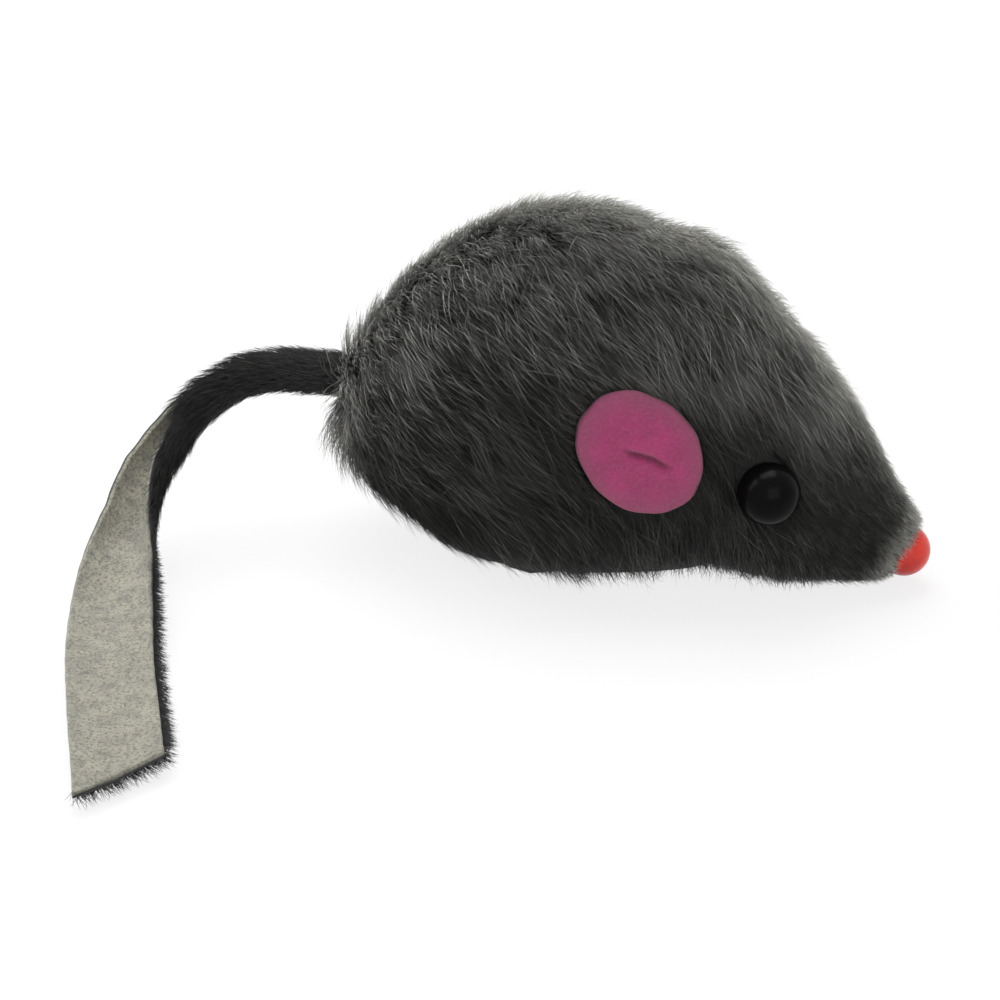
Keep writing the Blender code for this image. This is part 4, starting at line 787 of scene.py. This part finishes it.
layers = {
    "underCoat": {"tufts": 4200, "perTuft": 8, "steps": 3, "long": 0.72, "high": 0.72, "thick": 0.00006,
                  "gather": 0.15, "toneShift": -0.05, "wander": 0.25, "perPiece": 14000},
    "guardCoat": {"tufts": 7200, "perTuft": 10, "steps": 4, "long": 1.0, "high": 1.0, "thick": 0.000038,
                  "gather": 0.18, "toneShift": 0.0, "wander": 0.13, "perPiece": 11000},
    "strayHair": {"tufts": 5000, "perTuft": 1, "steps": 5, "long": 1.2, "high": 1.1, "thick": 0.000026,
                  "gather": 0.0, "toneShift": 0.28, "wander": 0.34, "perPiece": 8000},
}
for name, layer in layers.items():
    hairs, radius, tone = growHairs(layer)
    hairs, kept = clearWay(hairs)
    furPieces(name, hairs[kept], radius[kept], tone[kept], layer["perPiece"], furLook, "grey_fur", "pelt")
    print(name, int(kept.sum()), "hairs")

# Tail: a strip of pelt, rolled fur side out at the root and opening to lie flat with its flesh side up
tail = {
    "route": [(-0.0305, 0, 0.0209), (-0.0345, 0, 0.0209), (-0.039, 0, 0.0208), (-0.045, -0.0002, 0.0205),
              (-0.0504, -0.0022, 0.0192), (-0.0556, -0.0059, 0.0152), (-0.0577, -0.0139, 0.0096),
              (-0.058, -0.0217, 0.0047), (-0.0565, -0.0312, 0.002), (-0.0526, -0.0435, 0.0016),
              (-0.0476, -0.0555, 0.0016), (-0.0424, -0.0675, 0.0016)],
    "start": 1.0, "rings": 150, "columns": 29, "width": 0.0102, "thick": 0.0008, "round": 0.02,
    "slant": 0.63, "slantLength": 0.01,
    "rollAt": [0, 3.6, 4.6, 5.2, 5.8, 6.5, 7.5, 9.0, 11],  # how far it is rolled, raised and turned along the route
    "roll": [2.95, 2.95, 2.93, 2.18, 1.9, 1.62, 0.86, 0.2, 0.14],
    "lift": [-0.0018, -0.0018, -0.0018, -0.0017, -0.0006, -0.0006, 0.0003, 0.0005, 0.0005],
    "twist": [1.2, 1.1, 0.57, 0.48, 0.41, 0.3, 0.18, 0.0, 0.0],  # the seam of the roll faces the far side
    "dull": (0.195, 0.19, 0.16), "pale": (0.3, 0.29, 0.23), "fleck": (0.092, 0.091, 0.081),
    "furSide": (0.012, 0.012, 0.012), "hairs": 19000, "hairLength": 0.0029, "hairThick": 0.000036, "perPiece": 10000,
    "openFrom": 2.2, "openFull": 0.7, "rolledFrom": 2.6,  # how rolled: opening, open, closed
    "fringe": 0.8, "fringeEnd": 10.55, "bareFrom": -0.55, "endFrom": 10.4, "endFull": 10.7,
    "tone": 0.3, "toneSpread": 0.12, "paleShare": 0.12, "paleGain": 0.4,
    "root": (0.008, 0.008, 0.0078), "tip": (0.06, 0.06, 0.057), "tipFrom": 0.1, "tipFull": 1.0,
    "gain": 1.2, "least": 0.15,
}
tailRoute = np.array(tail["route"])


def tailPoint(t):  # cubic through the route's points
    last = len(tailRoute) - 1
    i = np.clip(np.floor(t).astype(int), 0, last - 1)
    u = (t - i)[:, None]
    a, b, c, d = (tailRoute[np.clip(i + k, 0, last)] for k in (-1, 0, 1, 2))
    hold = (1 + 2 * u) * (1 - u) ** 2 * b + u * (1 - u) ** 2 * (c - a) / 2
    return hold + u * u * (3 - 2 * u) * c + u * u * (u - 1) * (d - b) / 2


tailSpots = np.linspace(tail["start"], len(tailRoute) - 1.0, 400)
tailSteps = np.linalg.norm(np.diff(tailPoint(tailSpots), axis=0), axis=1)
tailReach = np.concatenate([[0], np.cumsum(tailSteps)])


def tailSurface(t, w, depth):
    # A place along the strip and one across it: an arc that rolls the width up, raised towards the flesh side
    roll, lift, twist = (np.interp(t, tail["rollAt"], tail[key]) for key in ("roll", "lift", "twist"))
    way = unit(tailPoint(t + 1e-3) - tailPoint(t - 1e-3))
    wide = unit(np.cross(zAxis, way))
    wide, up = turned(wide, np.cross(way, wide), twist[:, None])
    radius, turn = tail["width"] / 2 / roll, w * roll
    side, height = radius * np.sin(turn), lift + radius * (1 - np.cos(turn))
    aside, inward = turned(wide, up, turn[:, None])
    left = tailReach[-1] - np.interp(t, tailSpots, tailReach)
    slant = tail["slant"] * np.clip(1 - left / tail["slantLength"], 0, 1)
    point = tailPoint(t) + side[:, None] * (wide - slant[:, None] * way) + height[:, None] * up
    return point + depth[:, None] * inward, inward, way, aside


def tailStrip():
    t = np.interp(np.linspace(0, tailReach[-1], tail["rings"]), tailReach, tailSpots)
    across, flat = np.linspace(-1, 1, tail["columns"]), np.ones(tail["columns"])
    edge = np.linspace(0, math.pi, 7)[1:-1]
    bulge = tail["round"] * np.sin(edge)
    w = np.concatenate([across, 1 + bulge, across[::-1], -1 - bulge])
    d = np.concatenate([flat, np.cos(edge), -flat, -np.cos(edge)]) * tail["thick"] / 2
    spots, wide = np.meshgrid(t, w, indexing="ij")
    depth = np.broadcast_to(d, spots.shape)
    edgeWave = 1 + 0.004 * np.sin(spots * 5.0 + 2) + 0.003 * np.sin(spots * 21.0)  # cut by hand
    dent = 0.00006 * np.sin(spots * 6.3 + wide * 2.0) + 0.00004 * np.sin(spots * 14.0 - wide * 5.0)  # uneven hide
    points = tailSurface(spots.ravel(), (wide * edgeWave).ravel(), (depth + dent).ravel())[0]
    points = points.reshape(spots.shape + (3,))
    cut = np.stack([depth * 2 / tail["thick"], spots], -1).reshape(-1, 2)  # face, then way along
    piece = addObject("tailStrip", gridMesh("tailStrip", points, cut=cut), suedeMaterial("suede", tail))
    dress(piece, "body", "tail_fur", "tail")


def tailFur():
    count, steps = tail["hairs"], 4
    t = np.interp(rng.random(count) * tailReach[-1], tailReach, tailSpots)
    roll = np.interp(t, tail["rollAt"], tail["roll"])
    flatness = smooth(-roll, -tail["openFrom"], -tail["openFull"])
    w = rng.uniform(-1.0, 1.0, count)
    edge = 1 - tail["fringe"] * rng.random(count) ** 1.6  # on the flat most hair shows at one edge and at the cut end
    w = np.where((rng.random(count) < flatness) & (t < tail["fringeEnd"]), edge, w)
    bare = tail["bareFrom"] - (1 + tail["bareFrom"]) * smooth(t, tail["endFrom"], tail["endFull"])
    w = np.where(roll < tail["rolledFrom"], np.maximum(w, bare), w)
    root, inward, way, aside = tailSurface(t, w, np.full(count, -tail["thick"] / 2))
    length = tail["hairLength"] * rng.uniform(0.65, 1.15, count) * (1 - 0.25 * flatness)
    lean = 0.08 + 0.8 * flatness * (0.7 + 0.3 * w) + rng.normal(0, 0.2 + 0.35 * flatness, count)
    flow = unit(way + lean[:, None] * aside)
    s = np.linspace(0, 1, steps)
    rise = (0.3 - 0.02 * flatness) * length * rng.uniform(0.6, 1.25, count)
    hairs = root[:, None] + (length[:, None] * s)[..., None] * flow[:, None]
    hairs = hairs - (rise[:, None] * (1 - (1 - s) ** 1.8))[..., None] * inward[:, None]
    hairs[..., 2] = np.maximum(hairs[..., 2], clear["floor"])
    tone = tail["tone"] + rng.normal(0, tail["toneSpread"], count)
    tone += tail["paleGain"] * (rng.random(count) < tail["paleShare"])
    radius = np.broadcast_to(tail["hairThick"] * (1 - 0.5 * s), (count, steps))
    look = furMaterial("tailFur", tail)
    furPieces("tailFur", hairs, radius, tone, tail["perPiece"], look, "tail_fur", "tail")


tailStrip()
tailFur()
print("tail done, strip", round(float(tailReach[-1]) * perMetre, 1), "mm long")

# Finishes of the CAD nodes that stay
plastics = {  # name, deep and bright colour, roughness
    "black_plastic": ("blackPlastic", (0.014, 0.014, 0.014), (0.026, 0.026, 0.027), 0.38),
    "grey_plastic": ("greyPlastic", (0.125, 0.125, 0.132), (0.185, 0.185, 0.195), 0.36),
    "rubber": ("rubber", (0.01, 0.01, 0.01), (0.022, 0.022, 0.021), 0.66),
}
metals = {  # name, deep, bright and stained colour, stretch of the streaks, share of tarnish, roughness
    "tinplate": ("tinplate", (0.46, 0.46, 0.45), (0.63, 0.63, 0.61), (0.3, 0.28, 0.24), (0.15, 1.0, 1.0), 0.35, 0.16),
    "steel": ("steel", (0.38, 0.38, 0.39), (0.55, 0.55, 0.56), (0.24, 0.22, 0.2), (1.0, 0.12, 1.0), 0.3, 0.14),
    "spring_steel": ("springSteel", (0.075, 0.095, 0.15), (0.15, 0.17, 0.24), (0.16, 0.12, 0.08), (1.0, 0.1, 1.0),
                     0.4, 0.18),
    "brass": ("brass", (0.58, 0.38, 0.13), (0.76, 0.54, 0.22), (0.3, 0.19, 0.08), (0.2, 1.0, 1.0), 0.4, 0.15),
}
finished = {}
for slot, (name, *look) in plastics.items():
    finished[slot] = plasticMaterial(name, dict(zip(("deep", "bright", "roughness"), look)))
for slot, (name, *look) in metals.items():
    finished[slot] = metalMaterial(name, dict(zip(("deep", "bright", "stain", "streak", "tarnish", "roughness"), look)))
for row in frame["record"]["subparts"]:
    if row["material_slot"] in finished:
        node = frame["nodes"][row["node"]]
        node.data.materials.clear()
        node.data.materials.append(finished[row["material_slot"]])
print("finishes done")

# Studio: pale floor, one broad lamp overhead, two soft ones at the sides
studio = {
    "floor": 3.0, "floorDull": (0.8, 0.8, 0.8), "floorPale": (0.84, 0.84, 0.84), "floorGlow": 0.8,
    "world": 0.42, "target": (0, 0, 0.02),
    "lamps": [("overhead", (-0.1, 0.22, 0.58), 0.5, 4.0), ("front", (0.3, -0.55, 0.36), 0.5, 1.45),
              ("left", (-0.55, 0.02, 0.36), 0.45, 2.5)],  # name, place, size and power
}
white = (1.0, 1.0, 1.0, 1.0)


def cameraSees(wire):  # 1 for what the lens, a reflection or a clear thing looks at
    found = [wire.make("ShaderNodeLightPath", {}, {}, f"Is {n} Ray") for n in ("Camera", "Glossy", "Transmission")]
    return wire.sum("MAXIMUM", wire.sum("MAXIMUM", found[0], found[1]), found[2])


def floorPlane():
    reach = studio["floor"] * np.linspace(-1, 1, 13)
    x, y = np.meshgrid(reach, reach)
    points = np.stack([x, y, np.zeros(x.shape)], -1)
    material, wire, shader = newMaterial("floor")
    tint = objectSpot(wire).noise(6.0, 2.0).mix(studio["floorDull"], studio["floorPale"])
    wire.into(shader, {"Base Color": tint, "Roughness": 0.9, "Specular IOR Level": 0.1})
    glow = wire.make("ShaderNodeEmission", {}, {"Color": white, "Strength": 1.0})
    lit = Wire(wire.tree, shader.outputs[0])
    mixed = wire.make("ShaderNodeMixShader", {}, {0: cameraSees(wire) * studio["floorGlow"], 1: lit, 2: glow})
    wire.into(wire.tree.nodes["Material Output"], {"Surface": mixed})
    mesh = gridMesh("floor", points - mouseOrigin, wrap=False, poles=False)
    floor = addObject("floor", mesh, material)


def studioLight():
    world = bpy.data.worlds.new("studio")
    scene.world = world
    world.use_nodes = True
    wire = Wire(world.node_tree)
    strength = cameraSees(wire) * (1.0 - studio["world"]) + studio["world"]
    wire.into(world.node_tree.nodes["Background"], {"Color": white, "Strength": strength})
    for name, place, size, power in studio["lamps"]:
        lamp = bpy.data.objects.new(name, bpy.data.lights.new(name, "AREA"))
        scene.collection.objects.link(lamp)
        lamp.data.size, lamp.data.energy = size, power
        aim(lamp, place, studio["target"])


floorPlane()
studioLight()
print("studio done")
